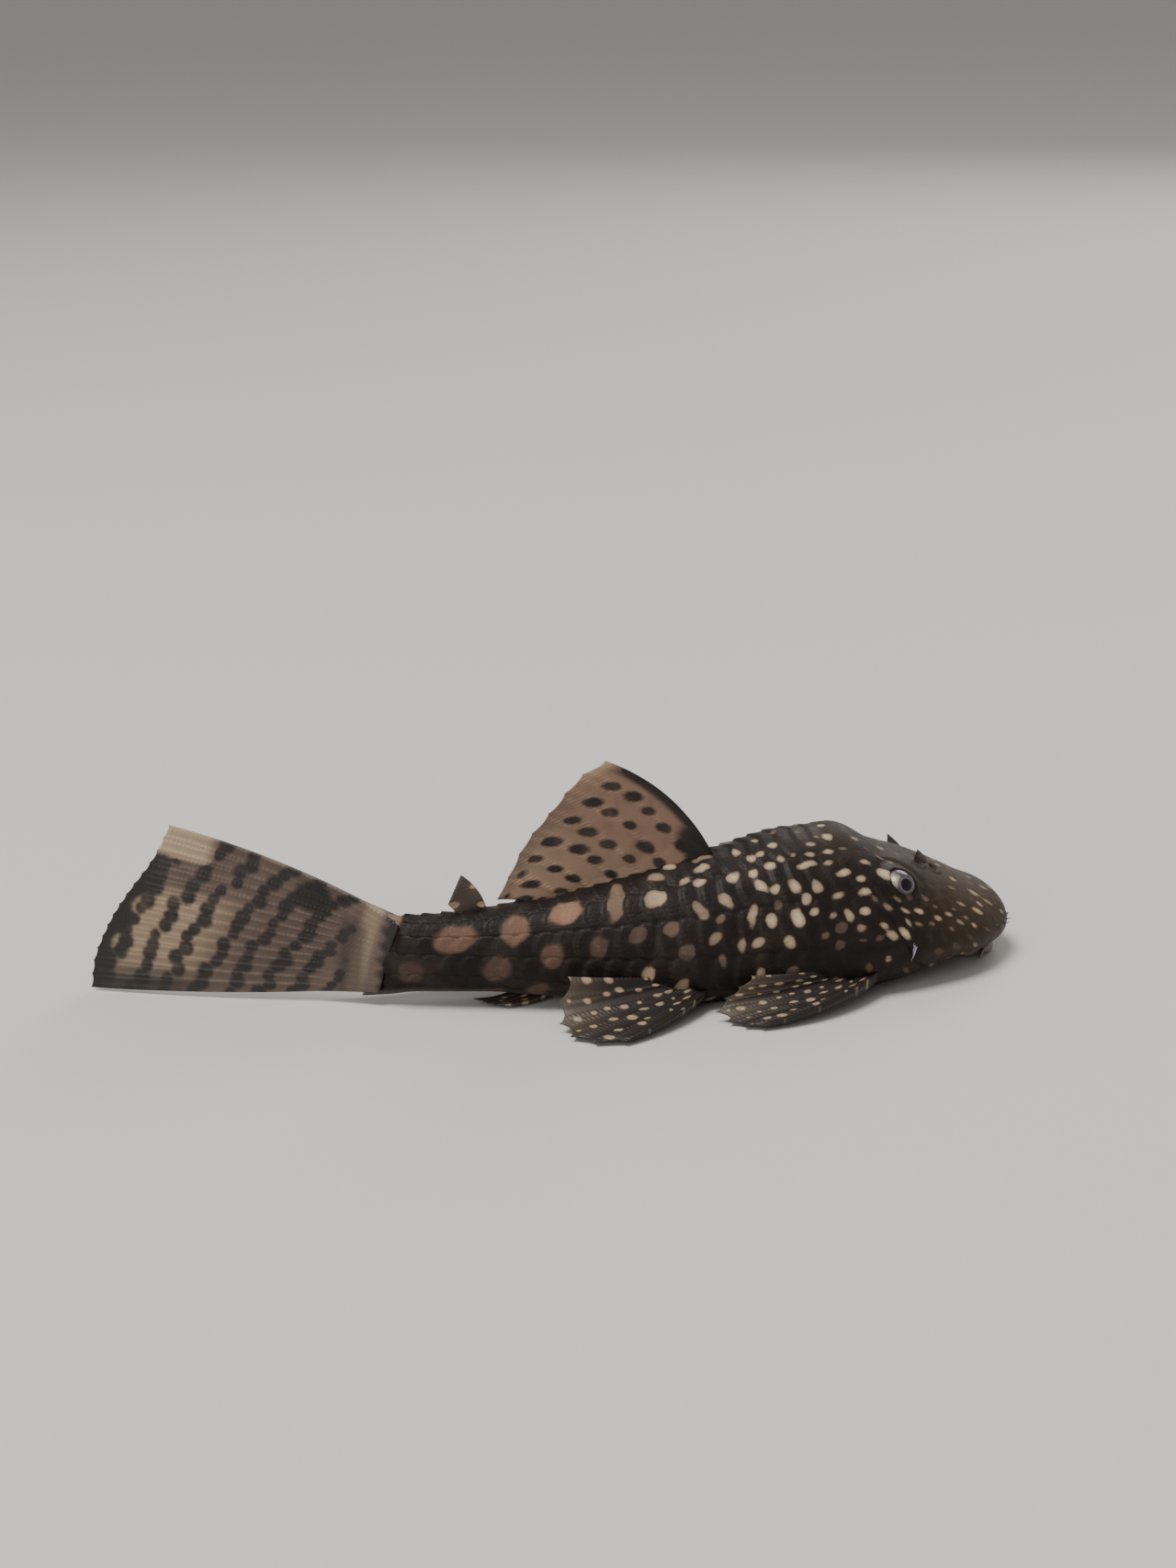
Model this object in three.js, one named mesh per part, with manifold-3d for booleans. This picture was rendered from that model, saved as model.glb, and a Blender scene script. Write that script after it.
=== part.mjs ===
// A bristlenose pleco at life size, resting on its belly with head and tail bent to its left.
// Shapes are laid out on a straight fish, by station from front to back, distance to the left of
// the midline and height, and the backbone is then bent onto an arc. Lengths are millimetres.
import * as THREE from "three";
import { mergeVertices } from "three/addons/utils/BufferGeometryUtils.js";
import Module from "manifold-3d";

const wasm = await Module();
wasm.setup();

// Driving sizes
const snoutTip = 1.8; // where the snout begins, on the scale of the stations
const bodyLength = 70; // where the tail fin begins, on the same scale
const bendRadius = 122; // arc of the backbone
const restStation = 35; // the station that rests at the origin
const gap = 0.3; // between neighbouring pieces
const headEnd = 21; // the gill opening, where head and trunk part
const trunkEnd = 56.5; // where trunk and tail stalk part
const plateLength = 1.97; // one bony plate along the flank
const plateRows = 5; // rows of plates on each side
const plateStep = 0.28; // how far a plate's rear edge stands over the next plate
const plateSweep = 0.35; // how far the middle of a plate's rear edge reaches back
const rayThickness = 0.95; // of a fin ray at its root
const membraneThickness = 0.5;
const tipThickness = 0.45; // of a fin at its margin
const eyeRadius = 1.95;
const eyeStation = 17.5;
const eyeAngle = 46; // degrees above the side, round the head's section
const eyeInset = 1.15; // from the skin in to the middle of the eyeball
const orbit = { radius: 2.05, thickness: 0.42, sunk: 0.15 }; // raised rim of the eye socket
const nostrilPitSize = { station: 12.4, angle: 65, radius: 0.5 };
const nostrilFlapSize = { station: 13.5, angle: 66, length: 2.1, radius: 0.72, lean: 0.25 };
const cheekSpineSize = { station: 16.2, step: 0.28, length: 2, growth: 0.22, radius: 0.3 };
const bristleSize = { first: 2.1, reach: 6.6, length: 1.3, growth: 0.5, radius: 0.27 };
const barbelSize = { station: 6.4, tipStation: 8, length: 3.1, radius: 0.42 };
const spikeSunk = 0.7; // how deep the root of a flap or spine lies under the skin

// Stations of the body: distance from the front, top, underside, half width, height of the
// widest line as a share of the depth, roundness above it and below it, and slant of the rings
const stations = [
  [snoutTip, 3.4, 3.4, 0, 0.5, 2, 2, 0],
  [2.5, 5.4, 1.9, 3.2, 0.42, 1.9, 2.2, 0],
  [4.2, 7, 1.5, 5.7, 0.37, 1.8, 2.5, 0],
  [6.8, 8.3, 1.4, 7.9, 0.33, 1.7, 2.6, 0],
  [10, 10.1, 1.35, 9.6, 0.31, 1.62, 2.6, 0],
  [14, 12.1, 1, 10.5, 0.3, 1.58, 2.7, 0],
  [18, 13.7, 0.1, 10.8, 0.3, 1.62, 2.9, 0.08],
  [22, 15.8, -0.4, 11, 0.3, 1.72, 3.1, 0.25],
  [27, 15.8, -0.5, 10.6, 0.32, 1.8, 3.2, 0.22],
  [34, 14.6, -0.5, 9.5, 0.35, 1.88, 3.1, 0.08],
  [43, 13, -0.4, 7.7, 0.38, 1.92, 2.9, 0],
  [52, 11.1, 0.5, 5.5, 0.43, 2, 2.6, -0.12],
  [60, 9.8, 1.2, 3.9, 0.47, 2.1, 2.4, -0.22],
  [66, 9.4, 1.2, 2.9, 0.5, 2.2, 2.3, -0.3],
  [70, 9.5, 0.8, 2.2, 0.5, 2.3, 2.3, -0.34],
  [74, 9.7, 0.5, 1.7, 0.5, 2.3, 2.3, -0.34],
];

// A point of the straight fish, bent onto the arc; the origin is under the resting belly.
function place(distance, side, height) {
  const turn = (restStation - distance) / bendRadius;
  const reach = bendRadius - side;
  return new THREE.Vector3(
    reach * Math.sin(turn),
    bendRadius - reach * Math.cos(turn),
    height,
  );
}

// One column of the stations at any distance: a smooth curve over the square root of the
// distance, which rounds the snout, with its slopes held so that it never overshoots.
function stationValue(column, distance) {
  const reach = (row) => Math.sqrt(stations[row][0] - snoutTip);
  const rise = (row) =>
    (stations[row + 1][column] - stations[row][column]) / (reach(row + 1) - reach(row));
  const last = stations.length - 1;
  const slope = (row) => {
    if (row === 0) return rise(0);
    if (row === last) return rise(last - 1);
    const before = rise(row - 1);
    const after = rise(row);
    return before * after <= 0 ? 0 : (2 * before * after) / (before + after);
  };
  let row = 0;
  while (row < last - 1 && stations[row + 1][0] < distance) row++;
  const span = reach(row + 1) - reach(row);
  const u = (Math.sqrt(distance - snoutTip) - reach(row)) / span;
  const start = stations[row][column];
  const end = stations[row + 1][column];
  return (
    start * (1 + 2 * u) * (1 - u) ** 2 +
    end * u * u * (3 - 2 * u) +
    slope(row) * span * u * (1 - u) ** 2 -
    slope(row + 1) * span * u * u * (1 - u)
  );
}

// The brow stands out round the eye.
function browSwell(distance, angle) {
  const above = Math.abs(90 - angle);
  const along = (distance - eyeStation) / 2.8;
  const across = (above - (90 - eyeAngle)) / 17;
  return 0.5 * Math.exp(-along * along - across * across);
}

// Side and height of the body's surface, where angle runs in degrees from the left side over
// the back; the underside is flat where the fish rests.
function section(distance, angle) {
  const value = (column) => stationValue(column, distance);
  const top = value(1);
  const under = value(2);
  const middle = under + value(4) * (top - under);
  const across = Math.cos(THREE.MathUtils.degToRad(angle));
  const up = Math.sin(THREE.MathUtils.degToRad(angle));
  const power = 2 / value(up >= 0 ? 5 : 6);
  const swell = browSwell(distance, angle);
  const side = Math.sign(across) * Math.abs(across) ** power * value(3) + swell * across;
  const rise = Math.sign(up) * Math.abs(up) ** power * (up >= 0 ? top - middle : middle - under);
  return [side, Math.max(middle + rise + swell * up, 0)];
}

// A surface point of the bent fish on a ring that slants back as its station says, moved out by
// the given distance.
function skinPoint(ring, angle, out = 0) {
  let distance = ring;
  let point = section(distance, angle);
  for (let pass = 0; pass < 4; pass++) {
    distance = ring + stationValue(7, ring) * (point[1] - 7);
    point = section(Math.max(distance, snoutTip), angle);
  }
  const [side, height] = point;
  if (!out) return place(distance, side, height);
  const ahead = section(Math.max(distance - 0.2, snoutTip), angle);
  const round = section(distance, angle + 1);
  const here = place(distance, side, height);
  const normal = place(distance - 0.2, ...ahead)
    .sub(here)
    .cross(place(distance, ...round).sub(here))
    .normalize();
  return here.addScaledVector(normal, -out);
}

// The frame of the head's surface at a point: outward normal and the way back along the skin.
function skinFrame(distance, angle) {
  const point = skinPoint(distance, angle);
  const back = skinPoint(distance + 0.3, angle).sub(point).normalize();
  const normal = skinPoint(distance, angle, 0.5).sub(point).normalize();
  return { point, back, normal };
}

function solidOf(geometry) {
  geometry.deleteAttribute("normal");
  geometry.deleteAttribute("uv");
  const merged = mergeVertices(geometry, 1e-4);
  const corners = merged.index.array;
  const kept = [];
  for (let i = 0; i < corners.length; i += 3) {
    const [a, b, c] = corners.slice(i, i + 3);
    if (a !== b && b !== c && c !== a) kept.push(a, b, c);
  }
  return new wasm.Manifold(
    new wasm.Mesh({
      numProp: 3,
      vertProperties: merged.attributes.position.array,
      triVerts: new Uint32Array(kept),
    }),
  );
}

function geometryOf(solid) {
  const { vertProperties, triVerts } = solid.getMesh();
  return new THREE.BufferGeometry()
    .setAttribute("position", new THREE.BufferAttribute(vertProperties, 3))
    .setIndex(new THREE.BufferAttribute(triVerts, 1));
}

function largestPart(solid) {
  return solid.decompose().reduce((a, b) => (b.volume() > a.volume() ? b : a));
}

function fromFaces(points, faces) {
  return solidOf(
    new THREE.BufferGeometry()
      .setAttribute(
        "position",
        new THREE.Float32BufferAttribute(points.flatMap((p) => [p.x, p.y, p.z]), 3),
      )
      .setIndex(faces),
  );
}

// Rings of equal count, joined in order and closed by a fan to the middle of each end.
function loft(rings) {
  const count = rings[0].length;
  const middleOf = (ring) =>
    ring.reduce((sum, p) => sum.add(p), new THREE.Vector3()).divideScalar(count);
  const all = [
    rings[0].map(() => middleOf(rings[0])),
    ...rings,
    rings[0].map(() => middleOf(rings[rings.length - 1])),
  ];
  const faces = [];
  for (let k = 0; k + 1 < all.length; k++)
    for (let j = 0; j < count; j++) {
      const a = k * count + j;
      const b = k * count + ((j + 1) % count);
      faces.push(a, b, a + count, b, b + count, a + count);
    }
  return fromFaces(all.flat(), faces);
}

// Angles round the section: three steps to a row of plates from the back to the belly's edge,
// then three over the bare belly, alike on both sides.
const bellyEdge = -46;
const rowShares = [0, 0.3, 0.7];
function sectionAngles() {
  const right = [];
  for (let row = 0; row < plateRows; row++)
    for (const share of rowShares) {
      const angle = 90 - ((row + share) / plateRows) * (90 - bellyEdge);
      right.push({ angle, groove: share === 0 && row > 0, plated: true });
    }
  for (const angle of [bellyEdge, -60, -75])
    right.push({ angle, groove: angle === bellyEdge, plated: angle === bellyEdge });
  const left = right.slice(1).map((spot) => ({ ...spot, angle: 180 - spot.angle }));
  return [...right, { angle: -90, groove: false, plated: false }, ...left.reverse()];
}

// A plated length of the body between two rings. Each plate rises from its front edge to its
// rear edge, and grooves part the rows.
function platedLength(from, to) {
  const plates = Math.round((to - from) / plateLength);
  const spots = sectionAngles();
  const rings = [];
  for (let plate = 0; plate < plates; plate++)
    for (const [share, sunk] of [[0, 1], [0.5, 0.35], [0.88, 0]]) {
      const ring = from + ((to - from) * (plate + share)) / plates;
      rings.push(
        spots.map(({ angle, groove, plated }) => {
          const depth = plated ? (groove ? 1 : sunk) * plateStep : 0;
          const sweep = plated && !groove && ring > from ? plateSweep : 0;
          return skinPoint(ring + sweep, angle, -depth);
        }),
      );
    }
  rings.push(spots.map(({ angle, plated }) => skinPoint(to, angle, plated ? -plateStep : 0)));
  return loft(rings);
}

// The smooth body moved out by the given distance, for parting what grows from it.
function bodyHull(out) {
  const rings = [];
  const spots = sectionAngles();
  for (let ring = snoutTip + 0.02; ring < bodyLength; ring += ring < 6 ? 0.5 : 1.5)
    rings.push(spots.map(({ angle }) => skinPoint(ring, angle, out)));
  rings.push(spots.map(({ angle }) => skinPoint(bodyLength + out, angle, out)));
  return loft(rings);
}

// A tapered spike of few sides, its root sunk and its tip bent.
function spike(root, direction, length, radius, bend, sides = 5) {
  const axis = direction.clone().normalize();
  const across = new THREE.Vector3(0.31, 0.52, 0.79).cross(axis).normalize();
  const other = axis.clone().cross(across);
  const ringAt = (share, width) => {
    const middle = root
      .clone()
      .addScaledVector(axis, share * length)
      .addScaledVector(bend, share * share * length);
    return Array.from({ length: sides }, (_, k) => {
      const turn = (2 * Math.PI * k) / sides;
      return middle
        .clone()
        .addScaledVector(across, width * Math.cos(turn))
        .addScaledVector(other, width * Math.sin(turn));
    });
  };
  return loft([ringAt(0, radius), ringAt(1, 0.3 * radius)]);
}

function eyeball(turn) {
  const { point, normal } = skinFrame(eyeStation, turn);
  return { middle: point.clone().addScaledVector(normal, -eyeInset), normal };
}

function ballAt(middle, radius, around, down) {
  const ball = new THREE.SphereGeometry(radius, around, down);
  return solidOf(ball.translate(middle.x, middle.y, middle.z));
}

// Both sides of the head: the right side's angles mirror the left's.
const sides = { left: (angle) => angle, right: (angle) => 180 - angle };

// The raised rim round each eye's socket.
function orbitRim(turn) {
  const { middle, normal } = eyeball(turn);
  const rim = new THREE.TorusGeometry(orbit.radius, orbit.thickness, 6, 18);
  const facing = new THREE.Quaternion().setFromUnitVectors(
    new THREE.Vector3(0, 0, 1),
    normal,
  );
  const seat = middle.clone().addScaledVector(normal, eyeInset - orbit.sunk);
  return solidOf(rim.applyQuaternion(facing).translate(seat.x, seat.y, seat.z));
}

// The pointed flap of skin that stands behind each nostril.
function nostrilFlap(turnOf) {
  const { station, angle, length, radius, lean } = nostrilFlapSize;
  const { point, normal, back } = skinFrame(station, turnOf(angle));
  const root = point.clone().addScaledVector(normal, -spikeSunk);
  return spike(root, normal, length, radius, back.multiplyScalar(lean), 6);
}

function nostrilPit(turnOf) {
  const { station, angle, radius } = nostrilPitSize;
  const { point, normal } = skinFrame(station, turnOf(angle));
  return ballAt(point.addScaledVector(normal, 0.1 * radius), radius, 10, 6);
}

// Short hooked spines on the cheek, in a fan that lies back along the gill cover.
function cheekSpines(turnOf) {
  const { station, step, length, growth, radius } = cheekSpineSize;
  return Array.from({ length: 6 }, (_, k) => {
    const angle = 1 + 4.5 * ((k * 2) % 5);
    const { point, normal, back } = skinFrame(station + step * k, turnOf(angle));
    const root = point.clone().addScaledVector(normal, -spikeSunk);
    const direction = normal.clone().add(back);
    return spike(root, direction, length + growth * k, radius, back.multiplyScalar(radius));
  });
}

// Very short soft bristles round the edge of the snout, longest towards the corners.
function snoutBristles(turnOf) {
  const { first, reach, length, growth, radius } = bristleSize;
  const count = 7;
  return Array.from({ length: count }, (_, k) => {
    const share = (k + 0.5) / count;
    const { point, normal } = skinFrame(first + reach * share * share, turnOf(5 + 7 * (k % 2)));
    const root = point.clone().addScaledVector(normal, -spikeSunk);
    const upward = new THREE.Vector3(0, 0, 0.22);
    return spike(root, normal, length + growth * Math.sin(Math.PI * share), radius, upward);
  });
}

function headSolid() {
  const spots = sectionAngles();
  const rings = [0.02, 0.2, 0.55, 1.1, 1.8, 2.7, 3.9, 5.4, 7.1, 8.8, 10.4, 11.8].map(
    (behind) => snoutTip + behind,
  );
  for (let ring = 14.8; ring < headEnd - gap; ring += 0.75) rings.push(ring);
  rings.push(headEnd - gap / 2);
  let head = loft(rings.map((ring) => spots.map(({ angle }) => skinPoint(ring, angle))));
  for (const turnOf of Object.values(sides)) {
    head = head.add(orbitRim(turnOf(eyeAngle))).add(nostrilFlap(turnOf));
    for (const spine of [...cheekSpines(turnOf), ...snoutBristles(turnOf)]) head = head.add(spine);
    const { middle } = eyeball(turnOf(eyeAngle));
    head = head.subtract(ballAt(middle, eyeRadius + gap, 18, 10)).subtract(nostrilPit(turnOf));
  }
  return largestPart(head);
}

// The sucker mouth: a lip disc on the floor, hollowed where the mouth opens, with a barbel at
// each corner.
const lips = { station: 6.9, front: 3.7, rear: 4.7, half: 5.2, thickness: 1.05 };
const mouthOpening = { station: 5.3, length: 1.1, half: 2.7, depth: 0.6 };
function mouthSolid() {
  const around = 28;
  const outline = (share, size, height) =>
    Array.from({ length: around }, (_, k) => {
      const turn = (-2 * Math.PI * k) / around;
      const along = Math.cos(turn);
      const across = Math.sin(turn);
      const lipStation = lips.station + along * (along > 0 ? lips.rear : lips.front);
      const openStation = mouthOpening.station + along * mouthOpening.length;
      return place(
        THREE.MathUtils.lerp(openStation, lips.station + (lipStation - lips.station) * size, share),
        across * THREE.MathUtils.lerp(mouthOpening.half, lips.half * size, share),
        height,
      );
    });
  let mouth = loft([
    outline(0, 1, mouthOpening.depth),
    outline(0.12, 1, 0.12),
    outline(0.35, 1, 0),
    outline(1, 0.9, 0),
    outline(1, 1, 0.3),
    outline(1, 0.97, 0.75),
    outline(1, 0.86, lips.thickness),
  ]);
  for (const side of [-1, 1]) {
    const { station, tipStation, length, radius } = barbelSize;
    const root = place(station, side * (lips.half - 0.9), lips.thickness / 2);
    const direction = place(tipStation, side * (lips.half + 1.5), lips.thickness / 2).sub(root);
    const droop = new THREE.Vector3(-0.1, 0, -0.05);
    mouth = mouth.add(spike(root, direction, length, radius, droop, 6));
  }
  return largestPart(mouth);
}

// A fin: rays spread from a root line to a margin, each bowed, with the membrane between them.
// The rays are ridges in the fin's own surface, and both faces are split into triangles alike.
function finSolid({ rays, root, margin, bow, steps, spineThickness, rootThickness, scallop }) {
  const curve = (points) => new THREE.CatmullRomCurve3(points.map((p) => new THREE.Vector3(...p)));
  const rootLine = curve(root);
  const marginLine = curve(margin);
  const columns = (rays - 1) * rowShares.length + 1;
  const middle = [];
  const half = [];
  for (let i = 0; i <= steps; i++) {
    middle.push([]);
    half.push([]);
    for (let j = 0; j < columns; j++) {
      const onRay = j % rowShares.length === 0;
      const share = (Math.floor(j / rowShares.length) + rowShares[j % rowShares.length]) / (rays - 1);
      const u = (i / steps) * (onRay ? 1 : 1 - scallop);
      const from = rootLine.getPointAt(share);
      const to = marginLine.getPointAt(share);
      const lift = new THREE.Vector3(...bow[0]).lerp(new THREE.Vector3(...bow[1]), share);
      const p = from.lerp(to, u).addScaledVector(lift, 4 * u * (1 - u));
      middle[i].push(place(p.x, p.y, Math.max(p.z, tipThickness / 2)));
      const crest = j === 0 ? spineThickness : rayThickness;
      const body = onRay ? THREE.MathUtils.lerp(crest, tipThickness, u) : membraneThickness;
      const fleshy = rootThickness * Math.max(0, 1 - u / 0.3) ** 1.5;
      half[i].push(Math.max(body, fleshy, i === steps ? tipThickness : 0) / 2);
    }
  }
  const points = [];
  for (const face of [1, -1])
    for (let i = 0; i <= steps; i++)
      for (let j = 0; j < columns; j++) {
        const along = middle[Math.min(i + 1, steps)][j].clone().sub(middle[Math.max(i - 1, 0)][j]);
        const across = middle[i][Math.min(j + 1, columns - 1)]
          .clone()
          .sub(middle[i][Math.max(j - 1, 0)]);
        const normal = along.cross(across).normalize();
        const point = middle[i][j].clone().addScaledVector(normal, face * half[i][j]);
        point.z = Math.max(point.z, 0);
        points.push(point);
      }
  const index = (face, i, j) => (face * (steps + 1) + i) * columns + j;
  const faces = [];
  for (let i = 0; i < steps; i++)
    for (let j = 0; j + 1 < columns; j++) {
      const corners = [[i, j], [i + 1, j], [i + 1, j + 1], [i, j + 1]];
      const [a, b, c, d] = corners.map(([row, column]) => index(0, row, column));
      const [e, f, g, h] = corners.map(([row, column]) => index(1, row, column));
      faces.push(a, b, c, a, c, d, e, g, f, e, h, g);
    }
  const border = [];
  for (let j = 0; j + 1 < columns; j++) border.push([0, j]);
  for (let i = 0; i < steps; i++) border.push([i, columns - 1]);
  for (let j = columns - 1; j > 0; j--) border.push([steps, j]);
  for (let i = steps; i > 0; i--) border.push([i, 0]);
  border.forEach(([i, j], k) => {
    const [nextI, nextJ] = border[(k + 1) % border.length];
    const a = index(0, i, j);
    const b = index(0, nextI, nextJ);
    const c = index(1, nextI, nextJ);
    const d = index(1, i, j);
    faces.push(a, b, c, a, c, d);
  });
  return fromFaces(points, faces);
}

// Each fin by its root line, sunk in the body, and its margin: points of the straight fish.
const fins = {
  dorsal_fin: {
    rays: 8,
    root: [[34.9, 0, 12.6], [43, 0, 11.2], [52.2, 0, 9.2]],
    margin: [
      [46.6, 0, 24.9], [49.4, 0, 23.3], [52.6, 0, 19.7],
      [55, 0, 16.6], [56.6, 0, 13.4], [58, 0, 10.7],
    ],
    bow: [[-1.3, 0, 1.2], [0, 0, 0.4]],
    steps: 7,
    spineThickness: 1.3,
    rootThickness: 2.2,
    scallop: 0.035,
  },
  adipose_fin: {
    rays: 2,
    root: [[58.9, 0, 8.8], [60.6, 0, 8.6]],
    margin: [[61.6, 0, 13.5], [63, 0, 10.4]],
    bow: [[-0.5, 0, 0.3], [0, 0, -0.3]],
    steps: 5,
    spineThickness: 1.2,
    rootThickness: 1.6,
    scallop: 0,
  },
  caudal_fin: {
    rays: 15,
    root: [[68.9, 0, 8.9], [70, 0, 5.2], [71.2, 0, 1.3]],
    margin: [
      [91.6, 0, 18.6], [93.6, 0, 14.9], [96.4, 0, 11.3],
      [98.8, 0, 7.9], [100.8, 0, 3.9], [101.4, 0, 0.3],
    ],
    bow: [[-0.9, 0, 0.8], [0, 0, -0.2]],
    steps: 8,
    spineThickness: 1.2,
    rootThickness: 3.2,
    scallop: 0.02,
  },
  anal_fin: {
    rays: 5,
    root: [[50.6, 0, 1.5], [54.4, 0, 1.9]],
    margin: [[57.6, -3.4, 0.5], [59.4, -2.6, 0.45], [60.8, -1.2, 0.5]],
    bow: [[0, -0.6, -0.5], [0, -0.3, -0.5]],
    steps: 6,
    spineThickness: 0.9,
    rootThickness: 1,
    scallop: 0.04,
  },
};

// The paired fins of the left side, mirrored for the right.
const pairedFins = {
  pectoral_fin: {
    rays: 7,
    root: [[20.2, 9, 2.6], [22.6, 8.8, 3]],
    margin: [
      [35.2, 15.1, 0.5], [36.6, 14.2, 0.5], [37.9, 12.4, 0.6], [38.2, 10.9, 1.6], [34.8, 10.5, 4.3],
    ],
    bow: [[-0.6, 1.7, 0.1], [0, 0.5, 0.1]],
    steps: 7,
    spineThickness: 1.5,
    rootThickness: 2,
    scallop: 0.04,
  },
  pelvic_fin: {
    rays: 6,
    root: [[37.2, 6.4, 2], [39.8, 6.6, 3.3]],
    margin: [
      [47.6, 15.3, 0.5], [50, 15, 0.5], [52, 13.6, 0.5],
      [52.9, 10.8, 0.9], [53, 8.7, 2.3], [51.8, 7.5, 4.8],
    ],
    bow: [[-0.3, 0.9, 0.1], [0, 0.4, 0.1]],
    steps: 7,
    spineThickness: 1.3,
    rootThickness: 1.7,
    scallop: 0.05,
  },
};

const fish = new THREE.Group();

function add(name, solid, colour, roughness) {
  const material = new THREE.MeshStandardMaterial({ color: colour, roughness, metalness: 0 });
  const mesh = new THREE.Mesh(geometryOf(solid), material);
  mesh.name = name;
  fish.add(mesh);
}

const skinColour = 0x1c1712;
const finColour = 0x54422c;
const eyeColour = 0x3c4152;
const lipColour = 0x8a7a66;

add("head", headSolid(), skinColour, 0.45);
add("trunk", platedLength(headEnd + gap / 2, trunkEnd - gap / 2), skinColour, 0.5);
add("tail_stalk", platedLength(trunkEnd + gap / 2, bodyLength), skinColour, 0.5);
add("mouth_disc", mouthSolid(), lipColour, 0.55);

for (const [side, turnOf] of Object.entries(sides)) {
  const { middle } = eyeball(turnOf(eyeAngle));
  add("eye_" + side, ballAt(middle, eyeRadius, 18, 10), eyeColour, 0.1);
}

const bodyCutter = bodyHull(gap);
for (const [name, shape] of Object.entries(fins))
  add(name, largestPart(finSolid(shape).subtract(bodyCutter)), finColour, 0.4);

for (const [name, shape] of Object.entries(pairedFins))
  for (const side of Object.keys(sides)) {
    const turned = side === "left" ? 1 : -1;
    const mirrored = (points) =>
      points.map(([distance, across, height]) => [distance, turned * across, height]);
    const { root, margin, bow } = shape;
    const lines = { root: mirrored(root), margin: mirrored(margin), bow: mirrored(bow) };
    const fin = finSolid({ ...shape, ...lines });
    add(name + "_" + side, largestPart(fin.subtract(bodyCutter)), finColour, 0.4);
  }

export default fish;
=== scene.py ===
# A bristlenose pleco as a still, life-size museum model, resting on its belly on a pale floor.
# Shapes are laid out in millimetres on a straight fish: station from front to back, distance to
# the left of the midline, and height. place() bends them onto the backbone's arc, in metres.
# Angles round the body are in degrees: 0 is the left side, 90 the back and 180 the right side.
import bpy
import numpy as np
from mathutils import Matrix, Vector


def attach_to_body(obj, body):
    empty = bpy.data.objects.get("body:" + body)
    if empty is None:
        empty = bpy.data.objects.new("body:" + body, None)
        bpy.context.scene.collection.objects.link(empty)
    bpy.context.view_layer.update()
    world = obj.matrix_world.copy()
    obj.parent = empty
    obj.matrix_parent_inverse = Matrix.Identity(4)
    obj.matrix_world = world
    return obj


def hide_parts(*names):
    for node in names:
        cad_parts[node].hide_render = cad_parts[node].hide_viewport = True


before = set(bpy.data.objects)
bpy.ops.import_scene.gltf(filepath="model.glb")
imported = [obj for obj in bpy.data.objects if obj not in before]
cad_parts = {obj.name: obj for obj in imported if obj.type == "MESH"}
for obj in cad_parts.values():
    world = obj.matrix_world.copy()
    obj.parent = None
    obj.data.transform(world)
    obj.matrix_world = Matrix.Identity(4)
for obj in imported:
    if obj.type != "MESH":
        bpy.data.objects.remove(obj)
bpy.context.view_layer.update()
rng = np.random.default_rng(20)
mm = 0.001

body = dict(snoutTip=1.8, length=70.0, bendRadius=122.0, restStation=35.0, headEnd=21.0,
            slantHeight=7.0)
# the line of sight has a share to the side, one towards the tail and one upwards
eye = dict(station=17.5, angle=46.0, radius=1.95, inset=1.15, sight=(0.84, -0.14, 0.47), rings=48)
brow = dict(rise=0.5, length=2.8, spread=17.0)

# Stations of the body: distance from the front, top, underside, half width, height of the
# widest line as a share of the depth, roundness above it and below it, and slant of the rings
stations = np.array([
    [1.8, 3.4, 3.4, 0, 0.5, 2, 2, 0],
    [2.5, 5.4, 1.9, 3.2, 0.42, 1.9, 2.2, 0],
    [4.2, 7, 1.5, 5.7, 0.37, 1.8, 2.5, 0],
    [6.8, 8.3, 1.4, 7.9, 0.33, 1.7, 2.6, 0],
    [10, 10.1, 1.35, 9.6, 0.31, 1.62, 2.6, 0],
    [14, 12.1, 1, 10.5, 0.3, 1.58, 2.7, 0],
    [18, 13.7, 0.1, 10.8, 0.3, 1.62, 2.9, 0.08],
    [22, 15.8, -0.4, 11, 0.3, 1.72, 3.1, 0.25],
    [27, 15.8, -0.5, 10.6, 0.32, 1.8, 3.2, 0.22],
    [34, 14.6, -0.5, 9.5, 0.35, 1.88, 3.1, 0.08],
    [43, 13, -0.4, 7.7, 0.38, 1.92, 2.9, 0],
    [52, 11.1, 0.5, 5.5, 0.43, 2, 2.6, -0.12],
    [60, 9.8, 1.2, 3.9, 0.47, 2.1, 2.4, -0.22],
    [66, 9.4, 1.2, 2.9, 0.5, 2.2, 2.3, -0.3],
    [70, 9.5, 0.8, 2.2, 0.5, 2.3, 2.3, -0.34],
    [74, 9.7, 0.5, 1.7, 0.5, 2.3, 2.3, -0.34],
])


# shape of the straight fish

def smooth(low, high, value):
    # smooth step from 0 at low to 1 at high, or the other way where low is the larger
    u = np.clip((value - low) / (high - low), 0, 1)
    return u * u * (3 - 2 * u)


def bell(value, width):
    return np.exp(-(value / width) ** 2)


def unit(vectors):
    return vectors / np.maximum(np.linalg.norm(vectors, axis=-1, keepdims=True), 1e-12)


def moved(points, amount, way):
    # points shifted along a direction by an amount in millimetres
    return points + (amount * mm)[..., None] * way


def place(distance, side, height):
    # a circle of the bend's radius about an upright axis to the left: angle from the distance
    turn = (body["restStation"] - distance) / body["bendRadius"]
    reach = body["bendRadius"] - side
    across = body["bendRadius"] - reach * np.cos(turn)
    return np.stack(np.broadcast_arrays(reach * np.sin(turn), across, height), -1) * mm


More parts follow.
